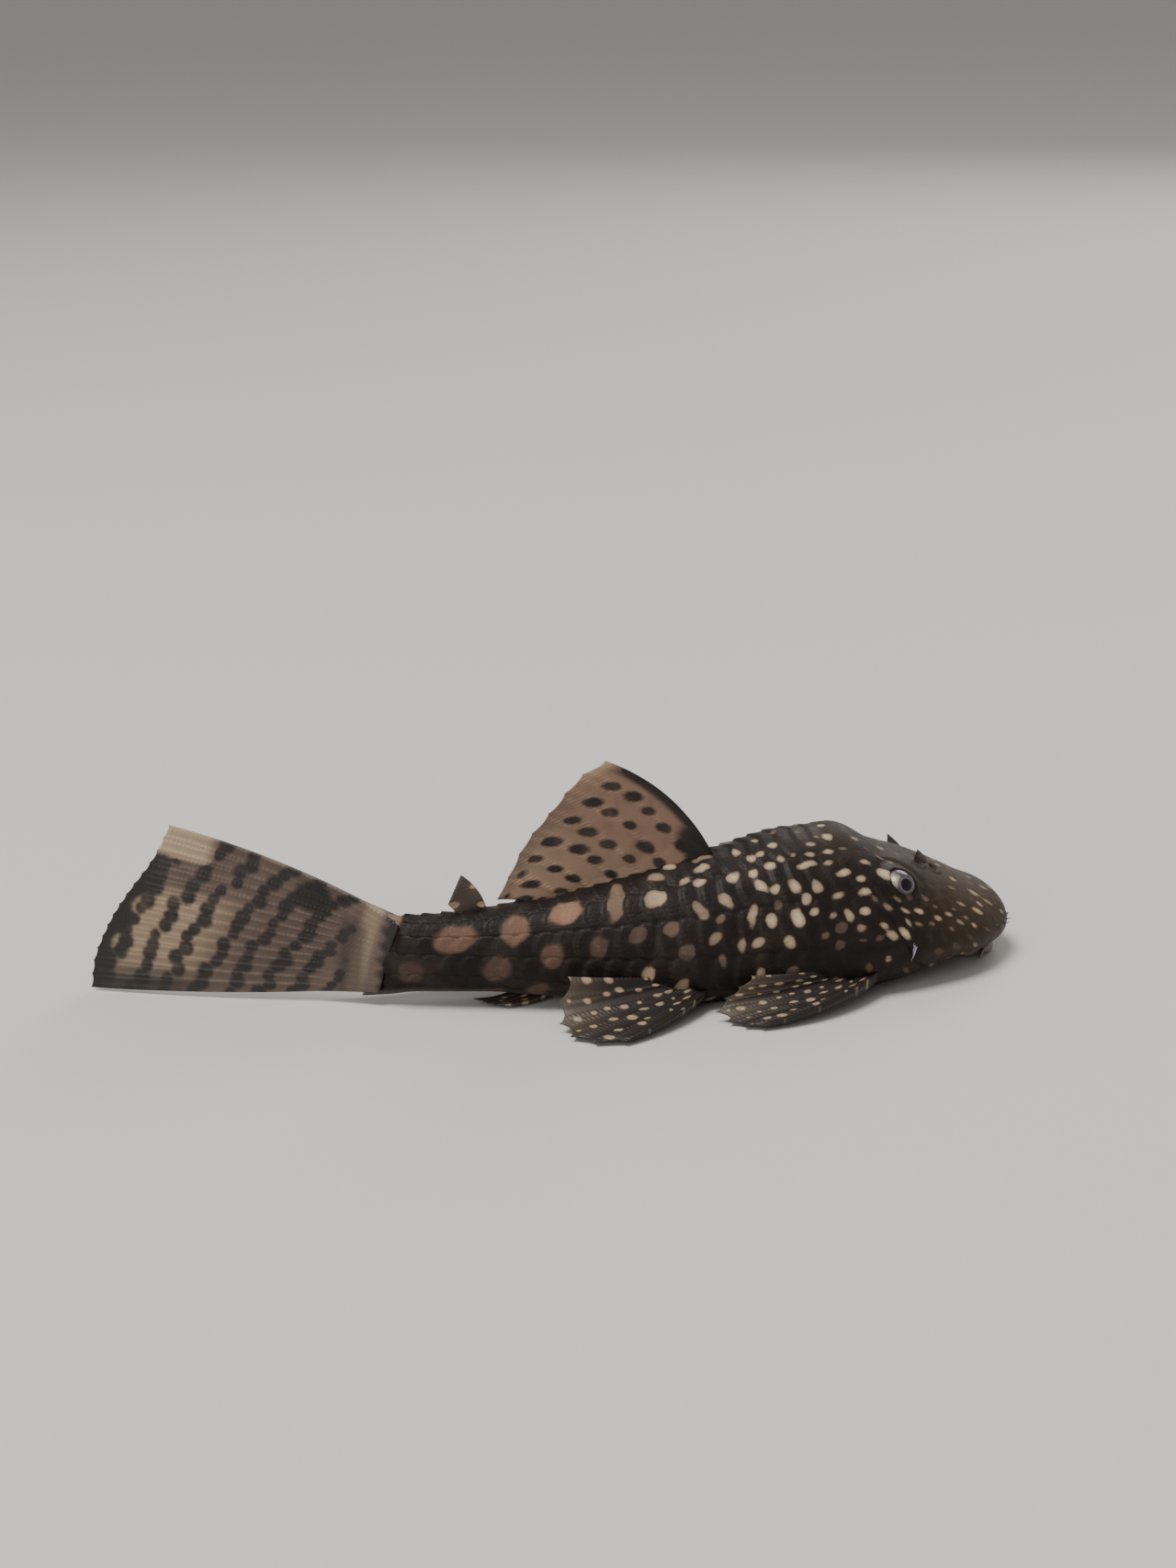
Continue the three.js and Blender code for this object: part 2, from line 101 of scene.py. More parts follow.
def stationValue(column, distance):
    # cubic pieces over the square root of the distance, with harmonic-mean slopes
    reach = np.sqrt(stations[:, 0] - body["snoutTip"])
    value = stations[:, column]
    rise = np.diff(value) / np.diff(reach)
    product = rise[:-1] * rise[1:]
    total = np.where(product > 0, rise[:-1] + rise[1:], 1)
    inner = np.where(product > 0, 2 * product / total, 0)
    slope = np.concatenate([rise[:1], inner, rise[-1:]])
    at = np.sqrt(np.maximum(distance - body["snoutTip"], 0))
    row = np.clip(np.searchsorted(reach, at) - 1, 0, len(reach) - 2)
    span = reach[row + 1] - reach[row]
    u = (at - reach[row]) / span
    ends = value[row] * (1 + 2 * u) * (1 - u) ** 2 + value[row + 1] * u * u * (3 - 2 * u)
    return ends + span * u * (1 - u) * (slope[row] * (1 - u) - slope[row + 1] * u)


def browSwell(distance, angle):
    # a bell round the eye, above the plain section
    across = bell(np.abs(90 - angle) - (90 - eye["angle"]), brow["spread"])
    return brow["rise"] * bell(distance - eye["station"], brow["length"]) * across


def section(distance, angle):
    # two half superellipses that share the widest line, flat where the belly rests
    top, under = stationValue(1, distance), stationValue(2, distance)
    middle = under + stationValue(4, distance) * (top - under)
    across, up = np.cos(np.radians(angle)), np.sin(np.radians(angle))
    power = 2 / np.where(up >= 0, stationValue(5, distance), stationValue(6, distance))
    swell = browSwell(distance, angle)
    side = np.sign(across) * np.abs(across) ** power * stationValue(3, distance) + swell * across
    depth = np.where(up >= 0, top - middle, middle - under)
    rise = np.sign(up) * np.abs(up) ** power * depth + swell * up
    return side, np.maximum(middle + rise, 0)


def skinSpot(ring, angle):
    # the ring slants back with height, so distance and height are settled together in a few rounds
    ring, angle = np.broadcast_arrays(np.asarray(ring, float), np.asarray(angle, float))
    distance = ring
    for _ in range(4):
        side, height = section(np.maximum(distance, body["snoutTip"]), angle)
        distance = ring + stationValue(7, ring) * (height - body["slantHeight"])
    side, height = section(np.maximum(distance, body["snoutTip"]), angle)
    return distance, side, height


def sideAngle(angle, mirrored):
    return 180 - angle if mirrored else angle


def skinFrame(ring, angle):
    # point, outward normal and the way back along the skin, from small steps on the surface
    point = place(*skinSpot(ring, angle))
    back = place(*skinSpot(ring + 0.3, angle)) - point
    around = place(*skinSpot(ring, angle + 1)) - point
    return point, unit(np.cross(back, around)), unit(back)


def gridNormals(points, closed):
    # cross product of the two directions of the grid at each vertex
    along = np.gradient(points, axis=0)
    if closed:
        across = (np.roll(points, -1, 1) - np.roll(points, 1, 1)) / 2
    else:
        across = np.gradient(points, axis=1)
    return unit(np.cross(along, across))


# meshes

def makeObject(name, data):
    made = bpy.data.objects.new(name, data)
    bpy.context.scene.collection.objects.link(made)
    return made


def makeMesh(name, vertices, faces, finish, values):
    # quads, or triangles where two corners are one; the sign of the closed mesh's volume turns
    # the faces outwards, and values holds the fields that the finish reads
    a, b, c, d = (vertices[faces[:, k]] for k in range(4))
    volume = np.sum(a * np.cross(b, c)) + np.sum(a * np.cross(c, d))
    if volume < 0:
        faces = faces[:, ::-1]
    quads = (faces[:, 2] != faces[:, 3]) & (faces[:, 0] != faces[:, 1])
    listed = faces[quads].tolist()
    listed += [list(dict.fromkeys(f)) for f in faces[~quads].tolist()]
    mesh = bpy.data.meshes.new(name)
    mesh.from_pydata(vertices.tolist(), [], listed)
    mesh.polygons.foreach_set("use_smooth", np.ones(len(mesh.polygons), bool))
    for key, value in values.items():
        field = mesh.attributes.new(key, "FLOAT", "POINT")
        field.data.foreach_set("value", np.asarray(value, np.float32).ravel())
    mesh.materials.append(finish)
    mesh.update()
    return makeObject(name, mesh)


def tubeFaces(rows, columns):
    # quads of a grid that closes on itself, and a fan of triangles to a pole at each end
    i, j = np.meshgrid(np.arange(rows - 1), np.arange(columns), indexing="ij")
    k = (j + 1) % columns
    near, far = i * columns, (i + 1) * columns
    sides = np.stack([near + j, near + k, far + k, far + j], -1)
    j = np.arange(columns)
    k = (j + 1) % columns
    start = np.stack([j * 0 + rows * columns, k, j, j], -1)
    last = (rows - 1) * columns
    end = np.stack([j * 0 + rows * columns + 1, last + j, last + k, last + k], -1)
    return np.concatenate([sides.reshape(-1, 4), start, end])


def makeTubes(name, grids, starts, ends, finish, values):
    # grids holds tubes by row and column; each gets a pole at its start and at its end
    count, rows, columns = grids.shape[:3]
    each = rows * columns + 2
    vertices = np.concatenate([grids.reshape(count, -1, 3), starts[:, None], ends[:, None]], 1)
    faces = tubeFaces(rows, columns)[None] + (np.arange(count) * each)[:, None, None]
    filled = {}
    for key, value in values.items():
        value = np.asarray(value).reshape(count, rows, columns)
        poles = np.stack([value[:, 0].mean(-1), value[:, -1].mean(-1)], -1)
        filled[key] = np.concatenate([value.reshape(count, -1), poles], 1)
    return makeMesh(name, vertices.reshape(-1, 3), faces.reshape(-1, 4), finish, filled)


def makeSheet(name, front, back, finish, values):
    # two faces of one grid, joined by a wall round the border
    rows, columns = front.shape[:2]
    i, j = np.meshgrid(np.arange(rows - 1), np.arange(columns - 1), indexing="ij")
    a = i * columns + j
    quads = np.stack([a, a + columns, a + columns + 1, a + 1], -1).reshape(-1, 4)
    size = rows * columns
    left = np.arange(rows) * columns
    border = np.concatenate([
        np.arange(columns), left[1:] + columns - 1,
        (rows - 1) * columns + np.arange(columns - 1)[::-1], left[1:-1][::-1]])
    after = np.roll(border, -1)
    wall = np.stack([border, after, after + size, border + size], -1)
    faces = np.concatenate([quads, quads[:, ::-1] + size, wall])
    vertices = np.concatenate([front.reshape(-1, 3), back.reshape(-1, 3)])
    doubled = {key: np.tile(np.asarray(value).ravel(), 2) for key, value in values.items()}
    return makeMesh(name, vertices, faces, finish, doubled)


# shader maths

class Wire:
    # one output socket; arithmetic on it adds Math nodes
    def __init__(self, finish, socket):
        self.finish, self.socket = finish, socket

    def maths(self, operation, *values):
        inputs = dict(enumerate(values))
        return self.finish.node("ShaderNodeMath", dict(operation=operation), inputs)

    def __add__(self, other): return self.maths("ADD", self, other)
    def __radd__(self, other): return self.maths("ADD", other, self)
    def __sub__(self, other): return self.maths("SUBTRACT", self, other)
    def __rsub__(self, other): return self.maths("SUBTRACT", other, self)
    def __mul__(self, other): return self.maths("MULTIPLY", self, other)
    def __rmul__(self, other): return self.maths("MULTIPLY", other, self)

    def sine(self): return self.maths("SINE", self)
    def smaller(self, other): return self.maths("MINIMUM", self, other)

    def step(self, low, high):
        # smooth step from 0 at low to 1 at high
        return self.finish.node(
            "ShaderNodeMapRange", dict(interpolation_type="SMOOTHSTEP", clamp=True),
            {"Value": self, "From Min": low, "From Max": high})


class Finish:
    # one material: node() adds a node to it, and set() fills its shader's sockets
    def __init__(self, name, sockets):
        self.material = bpy.data.materials.new(name)
        self.material.use_nodes = True
        self.tree = self.material.node_tree
        self.shader = self.tree.nodes["Principled BSDF"]
        self.set(sockets)

    def plug(self, socket, value):
        if isinstance(value, Wire):
            self.tree.links.new(value.socket, socket)
        elif isinstance(value, (tuple, list)) and len(value) == 3 and socket.type == "RGBA":
            socket.default_value = (*value, 1)
        else:
            socket.default_value = value

    def node(self, kind, settings=None, inputs=None, output=0):
        made = self.tree.nodes.new(kind)
        for key, value in (settings or {}).items():
            setattr(made, key, value)
        for key, value in (inputs or {}).items():
            self.plug(made.inputs[key], value)
        return Wire(self, made.outputs[output])

    def set(self, sockets):
        for key, value in sockets.items():
            self.plug(self.shader.inputs[key], value)

    def coordinates(self):
        return self.node("ShaderNodeTexCoord", output="Object")

    def noise(self, size, detail):
        # size is the width of one patch in millimetres, here and in cells()
        inputs = {"Vector": self.coordinates(), "Scale": 1 / mm / size, "Detail": detail}
        return self.node("ShaderNodeTexNoise", {}, inputs)

    def cells(self, size):
        inputs = {"Vector": self.coordinates(), "Scale": 1 / mm / size}
        return self.node("ShaderNodeTexVoronoi", dict(feature="SMOOTH_F1"), inputs)

    def field(self, name):
        return self.node("ShaderNodeAttribute", dict(attribute_name=name), output="Fac")

    def paint(self, base, *coats):
        # coats over a base colour in turn, each a share and a colour
        for share, colour in coats:
            inputs = {0: share, 6: base, 7: colour}
            base = self.node("ShaderNodeMix", dict(data_type="RGBA"), inputs, output=2)
        return base

    def relief(self, *bumps):
        # bumps over one another, each a height from 0 to 1 and the millimetres that 1 stands for
        normal = None
        for height, depth in bumps:
            inputs = {"Height": height, "Distance": depth * mm, "Strength": 1.0}
            if normal:
                inputs["Normal"] = normal
            normal = self.node("ShaderNodeBump", {}, inputs)
        return normal


def blend(share, first, second):
    return first + share * (second - first)


def scaled(colour, share):
    return tuple(share * part for part in colour)


# the crown colour paints a sheen on the top of the back, where the light falls
skinColours = dict(
    ground=(0.0095, 0.0066, 0.0055), snout=(0.046, 0.030, 0.017), cloud=(0.036, 0.025, 0.019),
    crownSheen=(0.050, 0.034, 0.026), mottle=(0.075, 0.053, 0.033), halo=(0.03, 0.021, 0.016),
    belly=(0.095, 0.078, 0.062), cream=(0.41, 0.305, 0.20), yellow=(0.37, 0.255, 0.13),
    core=(0.74, 0.64, 0.42), rearTan=(0.26, 0.14, 0.09), dim=(0.050, 0.032, 0.025),
    dust=(0.16, 0.11, 0.08), seam=(0.009, 0.007, 0.006), finBase=(0.20, 0.135, 0.095),
    shadow=(0.008, 0.006, 0.006))


def skinFinish():
    # dark ground that is browner on the snout and paler on the belly, with a painted sheen
    # on the top of the back in front, then the spots: cream on the flank, yellow on the snout,
    # tan and softer towards the tail, each dimmed by its tint
    finish = Finish("spotted_skin", {"Specular IOR Level": 0.16, "Coat Roughness": 0.25})
    colours = skinColours
    distance = finish.field("distance")
    tint = finish.field("tint")
    edge = finish.field("spot") + 0.26 * (finish.noise(0.6, 4) - 0.5)
    rear = distance.step(40, 60)
    spot = blend(rear, edge.step(0.07, -0.2), edge.step(0.25, -0.42))
    core = edge.step(-0.16, -0.5)
    belly = finish.field("belly")
    mottle = finish.noise(1.1, 4).step(0.45, 0.7) * distance.step(24, 10)
    ground = finish.paint(
        colours["ground"], (distance.step(21, 7), colours["snout"]),
        (finish.noise(4, 5).step(0.5, 0.72) * 0.6, colours["cloud"]),
        # painted sheen: the crown colour lightens the top of the back in front
        (finish.field("crownSheen") * 0.6, colours["crownSheen"]), (mottle * 0.45, colours["mottle"]),
        (edge.step(0.9, 0.0) * 0.22, colours["halo"]), (belly * 0.7, colours["belly"]))
    pale = finish.paint(
        colours["cream"], (distance.step(14, 5), colours["yellow"]),
        (core * (1 - tint) * 0.6, colours["core"]), (distance.step(34, 54), colours["rearTan"]),
        (0.12 + 0.8 * tint.step(0.08, 0.85), colours["dim"]),
        (finish.noise(0.35, 2).step(0.5, 0.8) * 0.3, colours["dust"]))
    colour = finish.paint(
        ground, (spot * (0.96 - 0.3 * belly), pale),
        (finish.field("seam") * (0.35 - 0.25 * spot), colours["seam"]),
        (finish.field("rearEnd"), colours["finBase"]),
        (finish.field("shadow") * 0.9, colours["shadow"]))
    relief = finish.relief((1 - finish.cells(0.24), 0.035), (finish.noise(0.13, 2), 0.025),
                           (finish.noise(1.4, 3), 0.1))
    roughness = 0.5 + 0.14 * finish.noise(1.2, 3) + 0.06 * spot
    finish.set({"Base Color": colour, "Roughness": roughness, "Coat Weight": 0.05,
                "Normal": relief})
    return finish.material


finColours = dict(pale=(0.40, 0.30, 0.19), shade=(0.011, 0.009, 0.008))


def finFinish(name, ground, marks):
    # marks is the colour of the spots on the ground colour; rays are lighter in streaks, and
    # the membrane between them is darker
    finish = Finish(name, {"Specular IOR Level": 0.35, "Coat Roughness": 0.25})
    edge = finish.field("spot") + 0.2 * (finish.noise(0.5, 3) - 0.5)
    spot = edge.step(0.1, -0.2) * (0.7 + 0.5 * finish.noise(1.7, 2)).smaller(1.0)
    ridge = finish.field("ridge")
    blotch = finish.noise(2.4, 4)
    streak = ridge * finish.noise(3.2, 3).step(0.42, 0.7)
    colour = finish.paint(
        ground, (blotch.step(0.42, 0.7) * 0.5, scaled(ground, 0.62)),
        (streak * 0.35, scaled(ground, 1.7)), (finish.field("pale"), finColours["pale"]),
        ((1 - ridge) * 0.2, scaled(ground, 0.5)), (spot, marks),
        (finish.field("shade"), finColours["shade"]))
    joints = (finish.field("along") * 14.0).sine() * ridge
    finish.set({"Base Color": colour, "Roughness": 0.42 + 0.14 * blotch, "Coat Weight": 0.1,
                "Normal": finish.relief((joints, 0.016), (finish.noise(0.2, 3), 0.03))})
    return finish.material


eyeColours = dict(
    iris=(0.032, 0.024, 0.036), streak=(0.085, 0.066, 0.088), fleck=(0.05, 0.036, 0.032),
    paintedHighlight=(0.42, 0.35, 0.29), edge=(0.03, 0.025, 0.027), ring=(0.15, 0.125, 0.17),
    pupil=(0.002, 0.002, 0.003))


def eyeFinish():
    # rings about the pupil, by the angle from the line of sight, and a painted highlight, a pale
    # patch on the upper rear of the iris
    finish = Finish("wet_eye", {"Coat Weight": 0.35, "Coat Roughness": 0.04,
                                "Specular IOR Level": 0.3})
    away = finish.field("gaze") + 0.05 * (finish.noise(0.5, 3) - 0.5)
    pale = finish.field("rear").step(0.1, 0.7) * finish.field("turn").step(-0.25, 0.5)
    colour = finish.paint(
        eyeColours["iris"], (finish.noise(0.25, 4), eyeColours["streak"]),
        (finish.noise(0.9, 3).step(0.45, 0.65) * 0.5, eyeColours["fleck"]),
        # the pale patch on the upper rear of the iris is a painted highlight
        (pale * away.step(0.42, 0.62) * 0.9, eyeColours["paintedHighlight"]),
        (away.step(1.1, 1.45), eyeColours["edge"]),
        (away.step(0.45, 0.38) * 0.8, eyeColours["ring"]),
        (away.step(0.375, 0.335), eyeColours["pupil"]))
    finish.set({"Base Color": colour, "Roughness": 0.25})
    return finish.material


def spineFinish(name, look):
    # from the colour at the root to that at the tip, with a darker grain
    finish = Finish(name, {"Coat Roughness": 0.15, "Coat Weight": 0.3})
    shown = finish.paint(
        look["colour"], (finish.field("along").step(0.1, 0.9), look["tip"]),
        (finish.noise(0.3, 2) * 0.4, scaled(look["colour"], 0.6)))
    finish.set({"Base Color": shown, "Roughness": 0.35 + 0.1 * finish.noise(0.5, 2)})
    return finish.material


lipColours = dict(light=(0.30, 0.225, 0.165), dark=(0.15, 0.11, 0.085),
                  papilla=(0.46, 0.37, 0.29), opening=(0.12, 0.05, 0.04))


def lipFinish():
    finish = Finish("lip_skin", {"Coat Roughness": 0.2, "Coat Weight": 0.3})
    colour = finish.paint(
        lipColours["light"], (finish.noise(1.5, 4), lipColours["dark"]),
        (finish.field("papilla") * 0.5, lipColours["papilla"]),
        (finish.field("opening"), lipColours["opening"]))
    finish.set({"Base Color": colour, "Roughness": 0.4 + 0.15 * finish.noise(0.6, 2),
                "Normal": finish.relief((finish.noise(0.25, 3), 0.05))})
    return finish.material


def attach(piece, slot, *nodes):
    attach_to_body(piece, "root")
    if nodes:
        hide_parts(*nodes)


# spots of the skin: on the right flank, station, distance round from the back's midline, half
# length and half height in millimetres, lean in radians and how dim
rightSpots = [
    [62.4, 3.8, 2.16, 1.58, 0.1, 0.5], [56.4, 3.9, 1.45, 1.77, -0.1, 0.45],
    [58.3, 8, 1.45, 1.6, 0, 0.7], [66.9, 7.2, 1.39, 1.43, 0, 0.9],
    [51.4, 3.4, 1.68, 1.44, 0.1, 0.1], [53, 7.8, 1.17, 1.47, 0.2, 0.6],
    [46.4, 3.8, 0.84, 2.61, -0.2, 0.5], [42.6, 4.9, 1.17, 1.08, -0.2, 0.2],
    [48.5, 8.2, 0.93, 1.3, -0.1, 0.8], [44.8, 8.2, 1.02, 0.93, 0.5, 0.8],
    [41.5, 8.6, 0.83, 0.84, 0.1, 0.65], [40.3, 11.4, 0.88, 0.89, 0.3, 0.75],
    [37.6, 10.8, 0.65, 0.69, -0.5, 0.5], [35.1, 12.3, 0.42, 0.74, -0.2, 0.4],
    [33.7, 12.6, 0.7, 0.56, 0.1, 0.35], [37, 13.3, 0.37, 0.72, 0, 0.7],
    [32.1, 10.8, 0.61, 0.79, -0.4, 0.2], [30.7, 13.5, 0.57, 0.7, 0.3, 0.3],
    [29.6, 11.4, 0.67, 1.02, 0.1, 0.1], [27.2, 13.9, 0.49, 0.47, 0, 0.7],
    [40.3, 0.9, 0.77, 0.7, 0, 0.1], [36.8, 0.9, 1.07, 0.6, 0, 0.5], [37.4, 2.6, 0.95, 0.63, 0, 0.3],
    [42, 2.1, 0.9, 0.76, 0, 0.4], [39.4, 3.8, 0.52, 0.61, 0, 0.2], [38.1, 4.4, 0.8, 0.52, 0, 0.2],
    [34.7, 5, 0.71, 0.74, 0, 0.15], [32.7, 5.2, 0.48, 0.67, 0.3, 0.1],
    [32.4, 7, 0.47, 0.97, 0.5, 0.15], [29.7, 2.4, 0.54, 0.62, 0, 0.1],
    [31.3, 3.1, 0.48, 0.53, 0, 0.2], [32.4, 3.2, 0.48, 0.59, 0, 0.2],
    [30.8, 5, 0.67, 0.56, 0, 0.15], [29.7, 4.6, 0.44, 0.46, 0, 0.2], [27.3, 6.1, 1, 0.47, 0, 0.1],
    [26.5, 4.8, 0.61, 0.39, 0, 0.1], [26.1, 3.4, 0.56, 0.36, 0, 0.3],
    [31.1, 7.7, 0.52, 0.6, 0.2, 0.2], [29.2, 8.1, 0.58, 0.83, 0.3, 0.3],
    [27.1, 8.8, 0.6, 0.77, 0, 0.4], [36, 7.3, 0.56, 1.05, 0.5, 0.4],
    [38.6, 7.7, 0.56, 1.26, 0.4, 0.5], [36.8, 9, 0.51, 0.52, 0, 0.7],
    [33.8, 9.7, 0.52, 1.13, -0.2, 0.3], [28, 11.3, 0.49, 0.47, 0, 0.2],
    [28.3, 4.5, 0.35, 0.29, 0, 0.3], [24, 7.7, 0.77, 0.5, 0, 0.1], [22.3, 8.6, 0.52, 0.39, 0, 0.2],
    [22.5, 10.1, 0.72, 0.47, 0, 0.1], [21, 6.7, 0.72, 0.36, 0, 0.15],
    [24.4, 4.8, 0.72, 0.33, 0, 0.2], [23.1, 4.6, 0.42, 0.22, 0, 0.4],
    [25.1, 6.2, 0.56, 0.42, 0.2, 0.3], [25.1, 10.1, 0.65, 0.43, 0, 0.3],
    [24.5, 12.3, 0.5, 0.7, 0, 0.3], [22.9, 12.2, 0.67, 0.47, 0, 0.1],
    [26.1, 12.1, 0.4, 0.42, 0, 0.4], [23.5, 13.8, 0.51, 0.42, 0, 0.5],
    [21.1, 13.9, 0.55, 0.42, 0, 0.2], [20.3, 11.8, 0.5, 0.42, 0, 0.5],
    [18.3, 11.2, 0.51, 0.33, 0, 0.2], [16.8, 10.9, 0.53, 0.33, 0, 0.2],
    [18.9, 14.2, 0.57, 0.57, 0, 0], [15, 11.2, 0.42, 0.29, 0, 0.3], [13.7, 10.4, 0.5, 0.29, 0, 0.2],
    [17.3, 12.4, 0.45, 0.28, 0, 0.5], [8.3, 5.8, 0.74, 0.45, 0, 0.2],
    [11.1, 8.6, 0.56, 0.31, 0, 0.3], [9.3, 8.8, 0.75, 0.35, 0, 0.2], [5.5, 3.7, 0.67, 0.35, 0, 0.4],
    [7, 6.4, 0.71, 0.32, 0, 0.3], [12.3, 11, 0.53, 0.29, 0, 0.4], [11.5, 10.3, 0.48, 0.24, 0, 0.4],
    [12.5, 9.6, 0.39, 0.25, 0, 0.4], [11.4, 6.5, 0.47, 0.28, 0, 0.6], [9, 10.7, 0.54, 0.24, 0, 0.6],
    [20.7, 3.2, 0.58, 0.3, 0, 0.3], [25, 2.4, 0.41, 0.33, 0, 0.5], [17.7, 2.4, 0.41, 0.33, 0, 0.4],
    [19.2, 4.8, 0.59, 0.23, 0, 0.4], [19.9, 4.4, 0.47, 0.23, 0, 0.5],
    [23.7, 15.2, 0.55, 0.29, 0, 0.7], [21.8, 15.3, 0.47, 0.43, 0, 0.8],
    [21.6, 11, 0.37, 0.38, 0, 0.7], [15.6, 9.1, 0.45, 0.39, 0, 0.7],
    [31.3, 9.5, 0.47, 0.57, 0, 0.8], [19.5, 7.7, 0.86, 0.86, 0, 0],
    [18.9, 10.4, 0.45, 0.24, 0, 0.5], [7.6, 3.7, 0.53, 0.3, 0, 0.7],
    [14.7, 9.9, 0.31, 0.25, 0, 0.7], [15.7, 12, 0.35, 0.24, 0, 0.6],
    [11.4, 12.4, 0.55, 0.29, 0, 0.8], [13.6, 12, 0.37, 0.24, 0, 0.6],
    [17.5, 4.9, 0.59, 0.3, 0, 0.4], [16, 2.8, 0.42, 0.26, 0, 0.6],
]

# Elsewhere, by station: step along, step round, half length and half height of a spot
spotBands = np.array([
    [1.8, 1.25, 1.3, 0.27, 0.24],
    [6, 1.6, 1.6, 0.36, 0.32],
    [12, 2.0, 2.0, 0.45, 0.38],
    [18, 2.4, 2.4, 0.52, 0.46],
    [26, 2.6, 2.7, 0.55, 0.62],
    [36, 3.2, 3.5, 0.66, 0.95],
    [46, 4.4, 4.6, 1.0, 1.4],
    [56, 5.6, 4.6, 1.5, 1.6],
    [70, 5.4, 4.6, 1.4, 1.5],
])
# first and last row, share left out, most lean, and room kept round the flank's own spots
spotRule = dict(first=2.5, last=68.0, leftOut=0.08, lean=0.5, room=1.5)


def skinSpots():
    # rows of spots round the body, each row offset from the last, jittered and some left out;
    # none where a spot of the right flank is in the way, or on its bare stretches
    spots = list(rightSpots)
    given = np.array(rightSpots)
    station, row = spotRule["first"], 0
    while station < spotRule["last"]:
        stepAlong, stepRound, length, height = (
            np.interp(station, spotBands[:, 0], spotBands[:, k]) for k in range(1, 5))
        ring = place(*skinSpot(station, np.linspace(-90, 270, 181)))
        reach = np.linalg.norm(np.diff(ring, axis=0), axis=1).sum() / mm / 2
        arc = -reach + stepRound * (0.5 * (row % 2) + 0.25)
        while arc < reach:
            along = station + rng.uniform(-0.3, 0.3) * stepAlong
            across = arc + rng.uniform(-0.28, 0.28) * stepRound
            size = rng.uniform(0.7, 1.2) * np.interp(abs(across), [0, 3, 7], [0.75, 0.85, 1.0])
            spot = [along, across, length * size * rng.uniform(0.85, 1.15),
                    height * size * rng.uniform(0.85, 1.2),
                    rng.uniform(-spotRule["lean"], spotRule["lean"]), rng.random()]
            room = np.hypot(
                (along - given[:, 0]) / (given[:, 2] + spotRule["room"] * length),
                (across - given[:, 1]) / (given[:, 3] + spotRule["room"] * height))
            bare = 0.5 < across < 8 and (station > 50 or 13 < station < 21)
            if rng.random() > spotRule["leftOut"] and room.min() > 1 and not bare:
                spots.append(spot)
            arc += stepRound * rng.uniform(0.9, 1.1)
        station += stepAlong
        row += 1
    return spots


def spotField(distance, arc, spots):
    # signed distance in millimetres to the wavy edge of the nearest leaning oval, and its tint
    nearest = np.full(distance.shape, 9.0)
    tint = np.zeros(distance.shape)
    wave = 0.07 * np.sin(2.9 * distance + 1.7 * arc) + 0.06 * np.sin(1.9 * distance - 3.7 * arc)
    for along, across, length, height, lean, shade in spots:
        near = np.abs(distance - along) < 5
        u, v = distance[near] - along, arc[near] - across
        a = (u * np.cos(lean) + v * np.sin(lean)) / length
        b = (v * np.cos(lean) - u * np.sin(lean)) / height
        gap = (np.sqrt(a * a + b * b) - 1) * min(length, height) + wave[near]
        closer = gap < nearest[near]
        nearest[near] = np.where(closer, gap, nearest[near])
        tint[near] = np.where(closer, shade, tint[near])
    return nearest, tint


# skin: one surface from snout to tail base

skin = dict(headRings=150, bodyRings=190, around=280, narrowing=0.42, narrowOver=3.0)
plate = dict(count=25, rows=5, bellyEdge=-46.0, step=0.28, sweep=0.25, groove=0.1, crest=0.86,
             points=7, keel=0.1)
gill = dict(station=19.0, sweep=0.055, depth=0.26, width=0.28, swell=0.12)
# the skin's edge round the eyeball: where it opens, and the rim and the hollow round that
lid = dict(opening=1.5, rim=0.34, rimWidth=0.3, hollow=0.16, hollowAt=2.95, hollowWidth=0.4)
# each nostril's two pits: distance behind the first, depth and radius
nostril = dict(station=12.0, angle=65.0, pits=((0.0, 0.55, 0.36), (1.75, 0.3, 0.28)), edge=0.13)


def plateRelief(ring, angle):
    # saw teeth along the body, shallow grooves between rows, a low keel along each row, and
    # a fringe of points on each plate's rear edge
    count, rows = plate["count"], plate["rows"]
    below = np.abs(90 - angle)
    row = below / (90 - plate["bellyEdge"]) * rows
    across = row % 1
    bow = 4 * across * (1 - across)
    span = (body["length"] - body["headEnd"]) / count
    stagger = 0.5 * (np.floor(row) % 2)
    along = ((ring - body["headEnd"]) / span - plate["sweep"] * bow + stagger) % 1
    comb = np.sin(2 * np.pi * plate["points"] * across)
    crest = plate["crest"] + 0.03 * comb
    tooth = np.where(along < crest, along / crest, (1 - along) / (1 - crest))
    groove = smooth(0, plate["groove"], np.minimum(across, 1 - across))
    groove = np.where((row < 0.5) & (across < 0.5), 1, groove)
    fine = 0.08 * comb * smooth(0.1, 0.6, along) * smooth(1, 0.85, along)
    keel = plate["keel"] * bell(across - 0.5, 0.1) * tooth
    height = plate["step"] * (0.8 * tooth - 0.3 * (1 - groove) + keel - 0.9 + fine)
    plated = smooth(rows + 0.25, rows - 0.05, row)
    begun = smooth(body["headEnd"] - 0.6, body["headEnd"] + 1.2, ring)
    grown = plated * begun * (0.6 + 0.4 * smooth(body["headEnd"], 33, ring))
    seam = 0.6 * (1 - groove) + smooth(0.08, 0.0, along) + smooth(0.94, 1.0, along)
    return height * grown, np.clip(seam, 0, 1) * grown


def headRelief(ring, low):
    # the gill line, a groove that slants back down the cheek, with a soft swelling in front of it
    cheekBand = smooth(-50, -30, low) * smooth(52, 34, low)
    gap = ring - gill["station"] - gill["sweep"] * (low - 10)
    swell = gill["swell"] * bell(gap + 0.9, 0.7)
    return cheekBand * (swell - gill["depth"] * bell(gap, gill["width"]))


